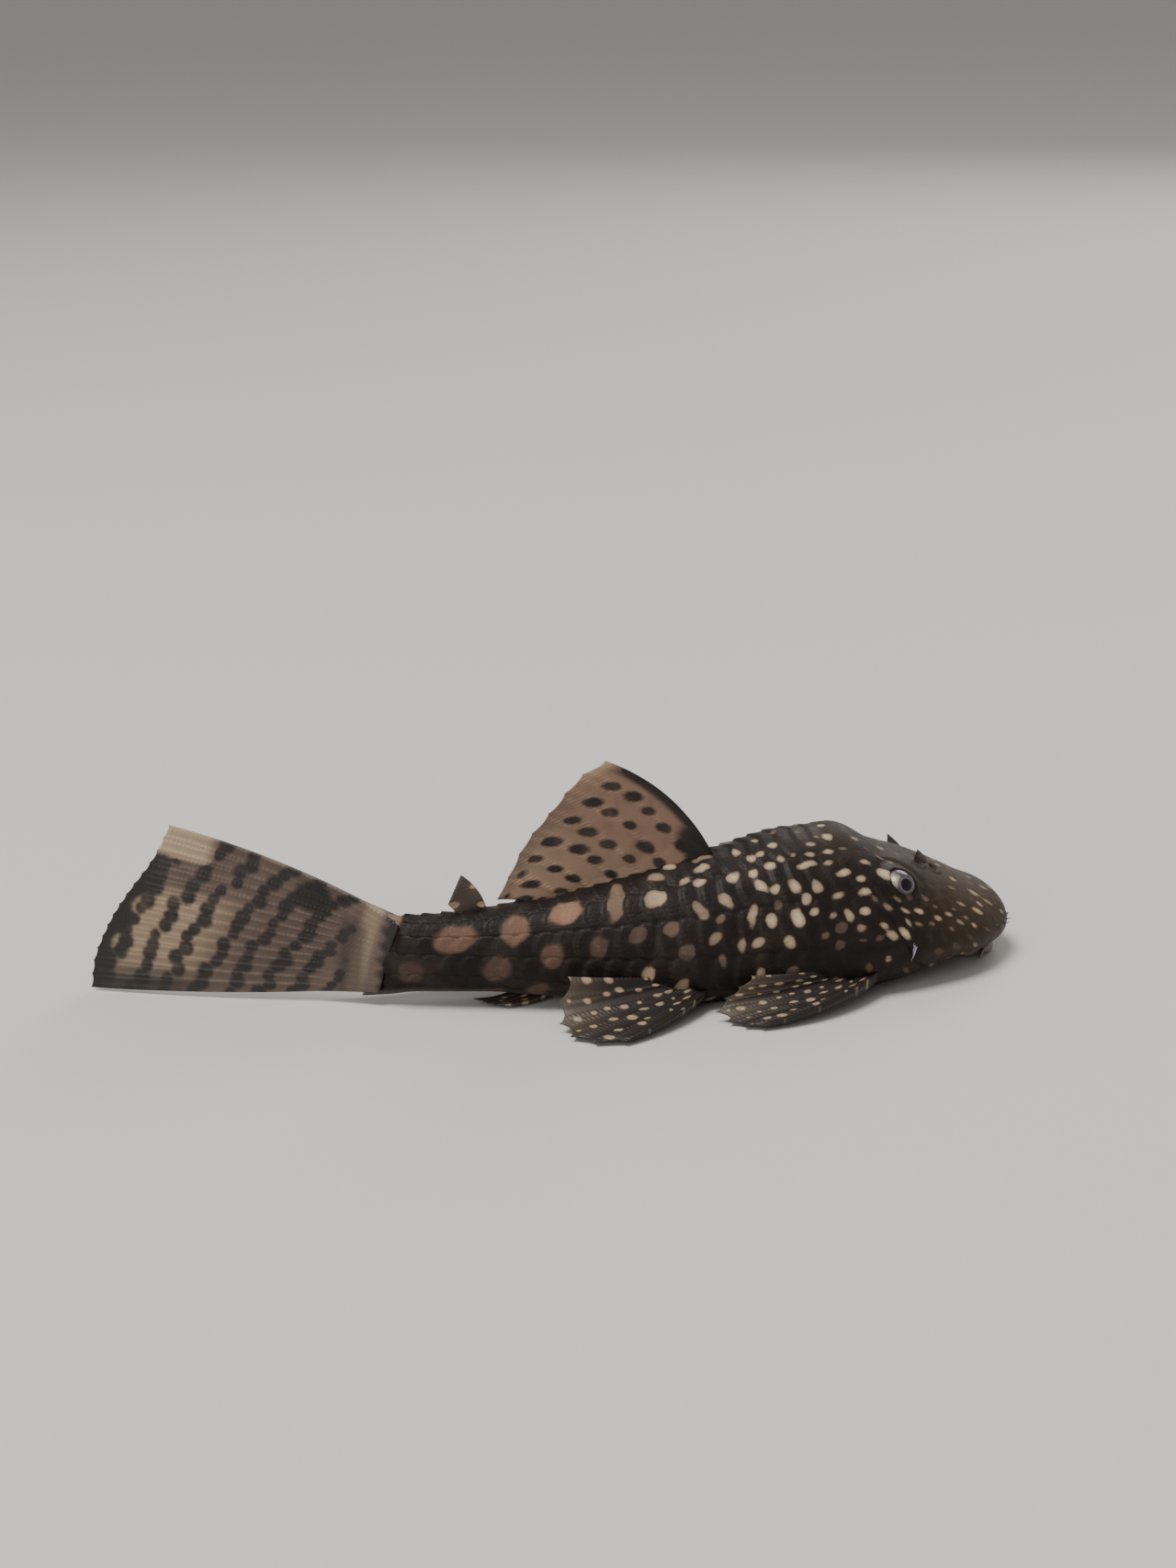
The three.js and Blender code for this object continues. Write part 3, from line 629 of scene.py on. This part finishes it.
def socket(points, angle):
    # inside the opening the skin lies just under the ball; a rim and a hollow go round it
    centre, normal, _ = skinFrame(eye["station"], angle)
    away = points - centre
    high = away @ normal / mm
    wide = np.linalg.norm(away - high[..., None] * mm * normal, axis=-1) / mm
    near = (wide < 5) & (np.abs(high) < 3)
    ball = np.sqrt(np.maximum(eye["radius"] ** 2 - wide ** 2, 0)) - eye["inset"] - 0.2
    inside = smooth(lid["opening"] + 0.1, lid["opening"] - 0.12, wide)
    rim = lid["rim"] * bell(wide - lid["opening"] - 0.22, lid["rimWidth"])
    hollow = lid["hollow"] * bell(wide - lid["hollowAt"], lid["hollowWidth"])
    shift = inside * (ball - high) + (1 - inside) * (rim - hollow)
    shadow = np.where(near, smooth(1.8, 1.5, wide), 0)
    return moved(points, np.where(near, shift, 0), normal), shadow


def nostrilPit(points, angle, behind, depth, radius):
    # a bell-shaped pit with a low raised edge
    centre, normal, _ = skinFrame(nostril["station"] + behind, angle)
    wide = np.linalg.norm(points - centre, axis=-1) / mm
    pit = nostril["edge"] * bell(wide - 2 * radius, 0.22) - depth * bell(wide, radius)
    return moved(points, pit, normal), bell(wide, radius)


def makeSkin(finish):
    # rings of the body's sections, with the relief along their normals
    share = np.arange(1, skin["headRings"] + 1) / skin["headRings"]
    head = body["snoutTip"] + (body["headEnd"] - body["snoutTip"]) * share ** 1.3
    rest = np.linspace(body["headEnd"], body["length"], skin["bodyRings"] + 1)[1:]
    ring = np.concatenate([head, rest])[:, None]
    angle = (np.arange(skin["around"]) * 360 / skin["around"] - 90)[None]
    distance, side, height = skinSpot(ring, angle)
    narrow = skin["narrowing"] * smooth(body["length"] - skin["narrowOver"], body["length"], ring)
    points = place(distance, side * (1 - narrow), height)
    steps = np.linalg.norm(np.roll(points, -1, 1) - points, axis=-1) / mm
    arc = np.cumsum(steps, 1) - steps
    arc = arc - arc[:, skin["around"] // 2, None]
    low = np.minimum(angle, 180 - angle)
    relief, seam = plateRelief(ring, angle)
    points = moved(points, relief + headRelief(ring, low), gridNormals(points, True))
    shadows = []
    for mirrored in (False, True):
        points, shadow = socket(points, sideAngle(eye["angle"], mirrored))
        shadows.append(shadow)
        for pit in nostril["pits"]:
            points, shadow = nostrilPit(points, sideAngle(nostril["angle"], mirrored), *pit)
            shadows.append(shadow)
    points[..., 2] = np.maximum(points[..., 2], 0)
    spot, tint = spotField(distance, arc, skinSpots())
    lowness = 1 - height / stations[-1, 1]
    values = dict(
        distance=distance, spot=spot, tint=tint, seam=seam, shadow=np.maximum.reduce(shadows),
        belly=smooth(plate["bellyEdge"] + 2, plate["bellyEdge"] - 16, low),
        rearEnd=smooth(-0.1, 0.5, ring - body["length"] + 1.7 - 1.5 * lowness),
        # the crown field marks where the painted sheen lightens the top of the back in front
        crownSheen=smooth(6, 1.5, np.abs(arc)) * smooth(34, 24, distance))
    values = {key: np.broadcast_to(value, distance.shape) for key, value in values.items()}
    nose = place(body["snoutTip"], 0.0, stations[0, 1])
    tail = points[-1].mean(0)
    return makeTubes("skin", points[None], nose[None], tail[None], finish, values)


# eyes, nostril flaps, spines and bristles

def makeEye(name, mirrored, finish):
    # a ball about the socket's middle, its rings about the line of sight
    centre, normal, back = skinFrame(eye["station"], sideAngle(eye["angle"], mirrored))
    middle = centre - normal * eye["inset"] * mm
    left = unit(place(eye["station"], 1.0, 0.0) - place(eye["station"], 0.0, 0.0))
    aside, behind, high = eye["sight"]
    gaze = unit(aside * (-left if mirrored else left) + behind * back + np.array([0, 0, high]))
    side = unit(np.cross(gaze, [0, 0, 1]))
    over = np.cross(side, gaze)
    polar = np.linspace(0, np.pi, eye["rings"] + 2)[1:-1][:, None]
    around = np.linspace(0, 2 * np.pi, 72, endpoint=False)[None]
    polar, around = np.broadcast_arrays(polar, around)
    reach = eye["radius"] * mm
    points = middle + reach * (
        (np.sin(polar) * np.cos(around))[..., None] * side
        + (np.sin(polar) * np.sin(around))[..., None] * over + np.cos(polar)[..., None] * gaze)
    values = dict(gaze=polar, turn=np.sin(around), rear=np.cos(around) * (1 if mirrored else -1))
    poles = middle + np.array([[1], [-1]]) * gaze * reach
    return makeTubes(name, points[None], poles[:1], poles[1:], finish, values)


def makeSpikes(name, roots, ways, lengths, radius, bends, finish, broad=(0.31, 0.52, 0.79),
               flat=1.0, rows=9, sides=10):
    # rings that narrow along a path bent by the square of the share along it; a flat one is
    # widest towards broad
    share = np.linspace(0, 1, rows)[None, :, None]
    ways = unit(ways)
    bends = np.broadcast_to(bends, ways.shape)[:, None]
    lengths = np.broadcast_to(lengths, len(roots))[:, None, None] * mm
    path = roots[:, None] + share * lengths * ways[:, None] + share ** 2 * lengths * bends
    other = unit(np.cross(ways, broad))
    across = np.cross(other, ways)
    turn = np.linspace(0, 2 * np.pi, sides, endpoint=False)[None, None, :, None]
    wide = radius * mm * (1 - 0.97 * share[..., None] ** 1.3)
    rings = np.cos(turn) * across[:, None, None] + flat * np.sin(turn) * other[:, None, None]
    points = path[:, :, None] + wide * rings
    along = np.broadcast_to(share, (len(roots), rows, sides))
    return makeTubes(name, points, path[:, 0], path[:, -1], finish, dict(along=along))


def spikesOn(stationsOn, angles, lean, sink):
    # roots sunk under the skin, and ways between its normal and its way back
    frames = [skinFrame(s, a) for s, a in zip(stationsOn, angles)]
    point, normal, back = (np.array(part) for part in zip(*frames))
    return point - normal * sink * mm, normal + lean * back, back


cheek = dict(count=13, station=16.3, step=0.08, angle=34.0, fall=1.3, length=3.5, radius=0.24,
             colour=(0.14, 0.13, 0.20), tip=(0.27, 0.26, 0.40))
bristle = dict(count=11, first=1.3, spread=5.4, length=0.55, radius=0.14,
               colour=(0.03, 0.022, 0.016), tip=(0.10, 0.07, 0.045))
flap = dict(behind=0.8, turn=5.0, length=1.9, radius=1.0, flat=0.3,
            colour=(0.042, 0.030, 0.020), tip=(0.055, 0.039, 0.027))


def makeCheekSpines():
    # a bundle on each cheek that leans down and back, each spine rooted lower than the last
    k = np.arange(cheek["count"])
    on = np.tile(cheek["station"] + cheek["step"] * k, 2)
    angles = cheek["angle"] - cheek["fall"] * k
    roots, ways, back = spikesOn(on, np.concatenate([angles, 180 - angles]), 0.55, 0.4)
    ways = 0.45 * ways + np.array([0, 0, -0.85])
    lengths = np.tile(cheek["length"] * (0.8 + 0.2 * np.sin(1.9 * k)), 2)
    return makeSpikes("cheek_spines", roots, ways, lengths, cheek["radius"], 0.3 * back,
                      spineFinish("cheek_spine", cheek))


def makeBristles():
    # short ones along each side of the snout, closer together towards its tip
    k = np.arange(bristle["count"])
    share = (k + 0.5) / bristle["count"]
    on = body["snoutTip"] + bristle["first"] + bristle["spread"] * share ** 2
    lift = 4 + 7 * (k % 2) + rng.uniform(-1.5, 1.5, bristle["count"])
    roots, ways, _ = spikesOn(np.tile(on, 2), np.concatenate([lift, 180 - lift]), 0.1, 0.4)
    lengths = np.tile(bristle["length"] + 0.4 * np.sin(np.pi * share), 2)
    lengths = lengths * rng.uniform(0.75, 1.1, len(lengths))
    return makeSpikes("snout_bristles", roots, ways, lengths, bristle["radius"], [0, 0, 0.22],
                      spineFinish("bristle", bristle))


def makeNostrilFlaps():
    # a broad thin flap behind each first pit, leaning back
    angles = nostril["angle"] + flap["turn"]
    on = np.full(2, nostril["station"] + flap["behind"])
    roots, ways, back = spikesOn(on, [angles, 180 - angles], 0.7, 0.5)
    finish = spineFinish("nostril_flap", flap)
    return makeSpikes("nostril_flaps", roots, ways, flap["length"], flap["radius"], 0.15 * back,
                      finish, broad=back, flat=flap["flat"], rows=16, sides=24)


# sucker mouth

lips = dict(station=6.9, front=3.7, rear=4.7, half=5.2, thickness=1.05, papilla=0.12)
opening = dict(station=5.3, length=1.1, half=2.7, depth=0.6)
barbel = dict(station=6.2, inset=0.8, height=0.52, length=3.0, radius=0.36,
              colour=(0.12, 0.09, 0.07), tip=(0.2, 0.15, 0.11))
# the lips' section: share of the way from opening to rim, height, how much papilla
lipSection = np.array([
    [0, 0.6, 0], [0.03, 0.35, 0], [0.08, 0.16, 0.2], [0.16, 0.06, 1], [0.3, 0.02, 1],
    [0.5, 0, 1], [0.7, 0, 1], [0.85, 0.02, 0.8], [0.95, 0.1, 0.4], [1, 0.32, 0],
    [0.985, 0.6, 0], [0.94, 0.85, 0], [0.86, 1, 0], [0.6, 1.05, 0]])


def makeMouth(finish):
    # rings from the mouth's opening out over the lips and back above them, with papillae as
    # rows of bumps that die out at the rim
    turn = np.linspace(0, 2 * np.pi, 150, endpoint=False)[None]
    at = np.linspace(0, len(lipSection) - 1, 76)[:, None]
    share, height, bumpy = (
        np.interp(at, np.arange(len(lipSection)), lipSection[:, k]) for k in range(3))
    along, across = np.cos(turn), np.sin(turn)
    ruffle = 1 + 0.012 * np.sin(9 * turn) + 0.01 * np.sin(14 * turn + 1)
    rim = lips["station"] + along * np.where(along > 0, lips["rear"], lips["front"]) * ruffle
    edge = opening["station"] + along * opening["length"]
    distance = blend(share, edge, rim)
    side = across * blend(share, opening["half"], lips["half"] * ruffle)
    waves = np.sin(4.2 * distance + 2 * np.sin(side)) * np.sin(4.4 * side + 1.5 * np.sin(distance))
    bump = smooth(-0.1, 0.8, waves)
    points = place(distance, side, height + bumpy * lips["papilla"] * (1 - bump))
    inside = smooth(0.07, 0, share) * (at < 5)
    values = dict(papilla=bumpy * bump, opening=np.broadcast_to(inside, bump.shape))
    poles = place(np.array([opening["station"], lips["station"]]), np.zeros(2),
                  np.array([opening["depth"], lips["thickness"]]))
    return makeTubes("sucker_lips", points[None], poles[:1], poles[1:], finish, values)


def makeBarbels():
    # one at each corner of the mouth, trailing outwards and back along the floor
    out = np.array([-1, 1])
    roots = place(barbel["station"], out * (lips["half"] - barbel["inset"]), barbel["height"])
    ways = place(8.0, out * (lips["half"] + 1.5), 0.5) - roots
    return makeSpikes("barbels", roots, ways, barbel["length"], barbel["radius"],
                      [-0.1, 0, -0.05], spineFinish("barbel", barbel))


# fins: each by its root line, sunk in the body, and its margin, as points of the straight fish;
# how far its first and last rays bow, thickness of the first ray and of the fleshy root, depth
# of the margin's scallops as a share, ripple in millimetres, and columns of the grid to a ray
fins = dict(
    dorsal_fin=dict(
        rays=8, perRay=12, root=[[34.9, 0, 12.6], [43, 0, 11.2], [52.2, 0, 9.2]],
        margin=[[46.6, 0, 24.86], [49.4, 0, 23.3], [52.6, 0, 19.7], [55, 0, 16.6],
                [56.6, 0, 13.4], [58, 0, 10.7]],
        bow=[[-1.3, 0, 1.2], [0, 0, 0.4]], spine=1.15, flesh=1.6, scallop=0.018, ripple=0.22),
    adipose_fin=dict(
        rays=2, perRay=40, root=[[58.9, 0, 8.8], [60.6, 0, 8.6]],
        margin=[[61.6, 0, 13.5], [63, 0, 10.4]],
        bow=[[-0.5, 0, 0.3], [0, 0, -0.3]], spine=1.0, flesh=1.2, scallop=0, ripple=0),
    caudal_fin=dict(
        rays=15, perRay=12, root=[[68.0, 0, 8.6], [69.2, 0, 5.2], [70.2, 0, 1.5]],
        margin=[[91.6, 0, 18.6], [93.6, 0, 14.9], [96.4, 0, 11.3], [98.8, 0, 7.9],
                [100.8, 0, 3.9], [101.4, 0, 0.3]],
        bow=[[-0.9, 0, 0.8], [0, 0, -0.2]], spine=0.95, flesh=3.2, scallop=0.006, ripple=0.3),
    anal_fin=dict(
        rays=5, perRay=12, root=[[50.6, 0, 1.5], [54.4, 0, 1.9]],
        margin=[[57.6, -3.4, 0.5], [59.4, -2.6, 0.45], [60.8, -1.2, 0.5]],
        bow=[[0, -0.6, -0.5], [0, -0.3, -0.5]], spine=0.7, flesh=0.8, scallop=0.04, ripple=0),
    pectoral_fin=dict(
        rays=7, perRay=14, root=[[20.2, 9, 2.6], [22.6, 8.8, 3]],
        margin=[[35.2, 14.95, 0.5], [36.6, 14.1, 0.5], [37.9, 12.4, 0.6], [38.2, 10.9, 1.6],
                [34.8, 10.5, 4.3]],
        bow=[[-0.6, 1.7, 0.1], [0, 0.5, 0.1]], spine=1.3, flesh=1.6, scallop=0.04, ripple=0.1),
    pelvic_fin=dict(
        rays=6, perRay=14, root=[[37.2, 6.4, 2], [39.8, 6.6, 3.3]],
        margin=[[47.6, 15.3, 0.5], [50, 15, 0.5], [52, 13.6, 0.5], [52.9, 10.8, 0.9],
                [53, 8.7, 2.3], [51.8, 7.5, 4.8]],
        bow=[[-0.3, 0.9, 0.1], [0, 0.4, 0.1]], spine=1.1, flesh=1.4, scallop=0.05, ripple=0.1),
)
# half thickness of the membrane and a ridge's height in millimetres, how far a split ray's halves
# part, the fleshy root's share of the ray, and least height of the fin's middle and its faces
finForm = dict(rows=100, membrane=0.1, ridge=0.2, fork=0.2, fleshyTo=0.3, lowest=0.22, floor=0.02)


def throughPoints(points, share):
    # Catmull-Rom curve through the points, read at equal shares of its length
    points = np.asarray(points, float)
    if len(points) == 2:
        return points[0] + (points[1] - points[0]) * share[:, None]
    padded = np.vstack([2 * points[0] - points[1], points, 2 * points[-1] - points[-2]])
    u = np.linspace(0, len(points) - 1 - 1e-9, 400)
    k = u.astype(int)
    f = (u - k)[:, None]
    a, b, c, d = (padded[k + n] for n in range(4))
    curve = 0.5 * (2 * b + (c - a) * f + (2 * a - 5 * b + 4 * c - d) * f ** 2
                   + (3 * b - a - 3 * c + d) * f ** 3)
    length = np.concatenate([[0], np.cumsum(np.linalg.norm(np.diff(curve, axis=0), axis=1))])
    at = share * length[-1]
    return np.stack([np.interp(at, length, curve[:, n]) for n in range(3)], -1)


def makeFin(name, shape, finish, pattern, side=1):
    # rays run from the root line to the margin, each lifted by a bow; ridges on both faces
    # follow the rays, split in two past mid length, and the margin dips between the rays
    rays = shape["rays"]
    mirror = np.array([1, side, 1])
    ray = np.linspace(0, rays - 1, (rays - 1) * shape["perRay"] + 1)
    share = ray / (rays - 1)
    start = throughPoints(shape["root"], share) * mirror
    end = throughPoints(shape["margin"], share) * mirror
    lift = blend(share[:, None], *(np.array(shape["bow"]) * mirror))
    between = ray % 1
    dip = shape["scallop"] * (4 * between * (1 - between)) ** 0.7
    row = np.linspace(0, 1, finForm["rows"])[:, None]
    u = row * (1 - dip)[None]
    spot = start + (end - start) * u[..., None] + lift * (4 * u * (1 - u))[..., None]
    wave = shape["ripple"] * np.sin(2.6 * ray / rays * np.pi + 2 * u) * smooth(0.1, 0.9, u)
    spot[..., 1] += wave * side
    spot[..., 2] = np.maximum(spot[..., 2], finForm["lowest"])
    middle = place(spot[..., 0], spot[..., 1], spot[..., 2])
    along = np.linalg.norm(np.diff(middle, axis=0), axis=-1) / mm
    along = np.concatenate([np.zeros((1, len(ray))), np.cumsum(along, 0)])
    nearest = np.abs((ray + 0.5) % 1 - 0.5)[None]
    ridge = bell(nearest - finForm["fork"] * smooth(0.45, 0.95, u), 0.15 - 0.03 * u)
    first = bell(ray, 0.35)[None]
    thin = finForm["membrane"]
    half = thin + finForm["ridge"] * (1 - 0.72 * u) * ridge * (1 - first)
    half = half + first * (shape["spine"] * (1 - 0.62 * u) / 2 - thin)
    half = np.maximum(half, shape["flesh"] / 2 * np.maximum(0, 1 - u / finForm["fleshyTo"]) ** 1.5)
    half = half * (1 - 0.55 * smooth(0.93, 1, row))
    half = half * (1 - 0.5 * smooth(0.35, 0.0, rays - 1 - ray)[None] * smooth(0, 0.3, u))
    normal = gridNormals(middle, False)
    front, back = moved(middle, half, normal), moved(middle, -half, normal)
    for face in (front, back):
        face[..., 2] = np.maximum(face[..., 2], finForm["floor"] * mm)
    marks, shade, pale = pattern(along, np.broadcast_to(ray, along.shape), u)
    values = dict(spot=marks, shade=shade, pale=pale, ridge=ridge, along=along)
    return makeSheet(name, front, back, finish, values)


def rowsOfSpots(along, ray, step, offset, slant, length, width, seed, stray=0.14, least=0.78):
    # spots on every ray at equal steps, each row shifted by slant from the last, with strays;
    # the value is -0.5 at a spot's centre, 0 at its edge and 0.5 at twice its radius
    draw = np.random.default_rng(seed)
    nearest = np.full(along.shape, 9.0)
    for k in range(int(ray.max()) + 1):
        for n in range(-14, 14):
            centre = offset + step * n + slant * k + draw.uniform(-stray, stray) * step
            size = draw.uniform(least, 1.2)
            a = (along - centre) / (length * size)
            b = (ray - k - draw.uniform(-stray, stray)) / (width * size)
            nearest = np.minimum(nearest, (np.sqrt(a * a + b * b) - 1) * 0.5)
    return nearest


# Each pattern gives the value of the spots, and how dark and how pale the fin is

def dorsalPattern(along, ray, u):
    marks = rowsOfSpots(along, ray, step=2.55, offset=2.2, slant=1.28,
                        length=0.92, width=0.29, seed=3)
    marks = marks + 0.8 * smooth(0.86, 0.97, u)
    front = smooth(0.5, 0.22, ray) * smooth(1.0, 0.8, u)
    blotch = smooth(1.2, 0.8, np.hypot((along - 2.2) / 3.6, (ray - 0.1) / 0.95))
    rear = 0.5 * smooth(0.8, 1.0, u) * smooth(1, 3, ray)
    pale = 0.9 * smooth(0.9, 0.99, u) * smooth(1.6, 0.3, ray) + 0.25 * smooth(2, 5, ray)
    return marks, np.maximum.reduce([front, blotch, rear]), pale


def caudalPattern(along, ray, u):
    # spots that run together into bands, a dark margin, and a pale tip on the upper lobe
    marks = rowsOfSpots(along, ray, step=3.45, offset=5.6, slant=0.5,
                        length=0.85, width=0.8, seed=5)
    marks = marks + 0.6 * smooth(4.6, 3.2, along)
    last = ray.max()
    margin = smooth(0.92, 0.95, u + 0.02 * np.sin(1.7 * ray))
    lower = smooth(last - 2.4, last - 0.6, ray) * smooth(0.5, 0.8, u) * 0.8
    upper = 0.4 * smooth(3.2, 0.5, ray) * smooth(0.75, 0.95, u)
    blotch = smooth(1.25, 0.75, np.hypot((along - 9.2) / 2.0, (ray - 2.0) / 1.7))
    band = 0.62 * smooth(1.3, 0.5, np.abs(along - 4.6 + 0.1 * ray) / 1.5) * smooth(1.5, 4, ray)
    base = smooth(2.0, 0.9, along + 0.09 * ray + 0.25 * np.sin(2.3 * ray))
    pale = 0.75 * smooth(0.5, 0.75, u) * smooth(4, 6, ray) * smooth(14, 10, ray)
    pale = pale + 0.45 * smooth(1.4, 2.4, along) * smooth(4.2, 3.2, along)
    tip = smooth(0.79, 0.85, u + 0.01 * ray) * smooth(2.5, 1.8, ray)
    dark = np.maximum.reduce([margin, lower, upper, blotch, band, base])
    return marks + tip, dark * (1 - tip), np.maximum(pale, tip)


def pairedPattern(along, ray, u):
    marks = rowsOfSpots(along, ray, step=1.8, offset=1.2, slant=0.8,
                        length=0.46, width=0.21, seed=8, stray=0.26, least=0.5)
    marks = marks + smooth(0.5, 0.1, ray) * (0.12 + 0.4 * smooth(4, 2, along))
    pale = 0.12 * smooth(0.55, 0.95, u) * smooth(1, 3, ray)
    return marks + 0.3 * smooth(0.9, 1.0, u), 0.3 * smooth(0.5, 0.1, ray), pale


def plainPattern(along, ray, u):
    marks = rowsOfSpots(along, ray, step=2.2, offset=1.5, slant=1.1,
                        length=0.4, width=0.22, seed=9)
    return marks, 0.3 * smooth(0.6, 1, u), 0.12 * smooth(0.2, 0.6, u)


def makeFins():
    tan = finFinish("tan_fin", (0.25, 0.152, 0.103), (0.012, 0.008, 0.0065))
    grey = finFinish("grey_fin", (0.115, 0.078, 0.060), (0.014, 0.010, 0.009))
    dark = finFinish("dark_fin", (0.019, 0.013, 0.010), (0.34, 0.255, 0.16))
    for name, look, pattern in (
            ("dorsal_fin", tan, dorsalPattern), ("caudal_fin", grey, caudalPattern),
            ("anal_fin", dark, plainPattern), ("adipose_fin", dark, plainPattern)):
        attach(makeFin(name + "_skin", fins[name], look, pattern), "fin", name)
    for name in ("pectoral_fin", "pelvic_fin"):
        for sideName, side in (("left", 1), ("right", -1)):
            node = f"{name}_{sideName}"
            attach(makeFin(node + "_skin", fins[name], dark, pairedPattern, side), "fin", node)


# building the fish

print("skin")
attach(makeSkin(skinFinish()), "skin", "head", "trunk", "tail_stalk")
print("eyes")
eyeLook = eyeFinish()
for name, mirrored in (("eye_left", False), ("eye_right", True)):
    attach(makeEye(name + "_ball", mirrored, eyeLook), "eye", name)
print("spines, bristles and mouth")
attach(makeCheekSpines(), "skin")
attach(makeBristles(), "skin")
attach(makeNostrilFlaps(), "skin")
attach(makeMouth(lipFinish()), "lips", "mouth_disc")
attach(makeBarbels(), "lips")
print("fins")
makeFins()

# stage and camera

studio = dict(floorRadius=8.0, floorColour=(0.62, 0.61, 0.59), speckColour=(0.5, 0.5, 0.49),
              sky=(0.86, 0.84, 0.82), skyStrength=0.42)
lights = dict(  # place, width of the disk, power and colour
    key=((-0.3, -0.05, 0.95), 0.5, 10.0, (1.0, 0.97, 0.93)),
    rim=((0.55, 0.7, 0.5), 0.5, 2.4, (1.0, 0.98, 0.95)),
    front=((-0.95, -0.85, 0.45), 0.7, 4.6, (1.0, 0.97, 0.94)))
photo = dict(height=1707, focal=3015.8)  # height, and focal length, in pixels of the photo
view = dict(azimuth=-15.08, elevation=17.0, roll=-1.04, distance=280.0,
            target=(-13.58, 0.0, 22.8), sensor=36.0)


def makeFloor():
    corners = 96
    turn = np.linspace(0, 2 * np.pi, corners, endpoint=False)
    rim = np.stack([np.cos(turn), np.sin(turn), 0 * turn], -1) * studio["floorRadius"]
    mesh = bpy.data.meshes.new("floor")
    mesh.from_pydata(rim.tolist(), [], [list(range(corners))])
    finish = Finish("pale_floor", {"Roughness": 0.7})
    speckle = finish.noise(2, 3) * 0.05
    colour = finish.paint(studio["floorColour"], (speckle, studio["speckColour"]))
    finish.set({"Base Color": colour})
    mesh.materials.append(finish.material)
    makeObject("floor", mesh)


def makeLight(name, location, size, power, colour):
    # a disk that faces the fish
    light = bpy.data.lights.new(name, "AREA")
    light.shape = "DISK"
    light.size = size
    light.energy = power
    light.color = colour
    lamp = makeObject(name, light)
    lamp.location = location
    aim = Vector((0, 0, 0.01)) - Vector(location)
    lamp.rotation_euler = aim.to_track_quat("-Z", "Y").to_euler()


def makeCamera():
    # the photo's viewing angle, with the sensor's width along the picture's height
    azimuth, elevation, roll = (np.radians(view[key]) for key in ("azimuth", "elevation", "roll"))
    level = np.cos(elevation)
    back = Vector((np.sin(azimuth) * level, -np.cos(azimuth) * level, np.sin(elevation)))
    right = Vector((np.cos(azimuth), np.sin(azimuth), 0))
    up = back.cross(right)
    turned = right * np.cos(roll) + up * np.sin(roll)
    over = up * np.cos(roll) - right * np.sin(roll)
    data = bpy.data.cameras.new("camera")
    data.sensor_width = view["sensor"]
    data.lens = photo["focal"] / photo["height"] * data.sensor_width
    camera = makeObject("camera", data)
    stand = Matrix.Translation((Vector(view["target"]) + back * view["distance"]) * mm)
    camera.matrix_world = stand @ Matrix((turned, over, back)).transposed().to_4x4()
    bpy.context.scene.camera = camera


print("stage")
makeFloor()
for name, light in lights.items():
    makeLight(name, *light)
world = bpy.data.worlds.new("studio")
world.use_nodes = True
sky = world.node_tree.nodes["Background"]
sky.inputs["Color"].default_value = (*studio["sky"], 1)
sky.inputs["Strength"].default_value = studio["skyStrength"]
bpy.context.scene.world = world
makeCamera()
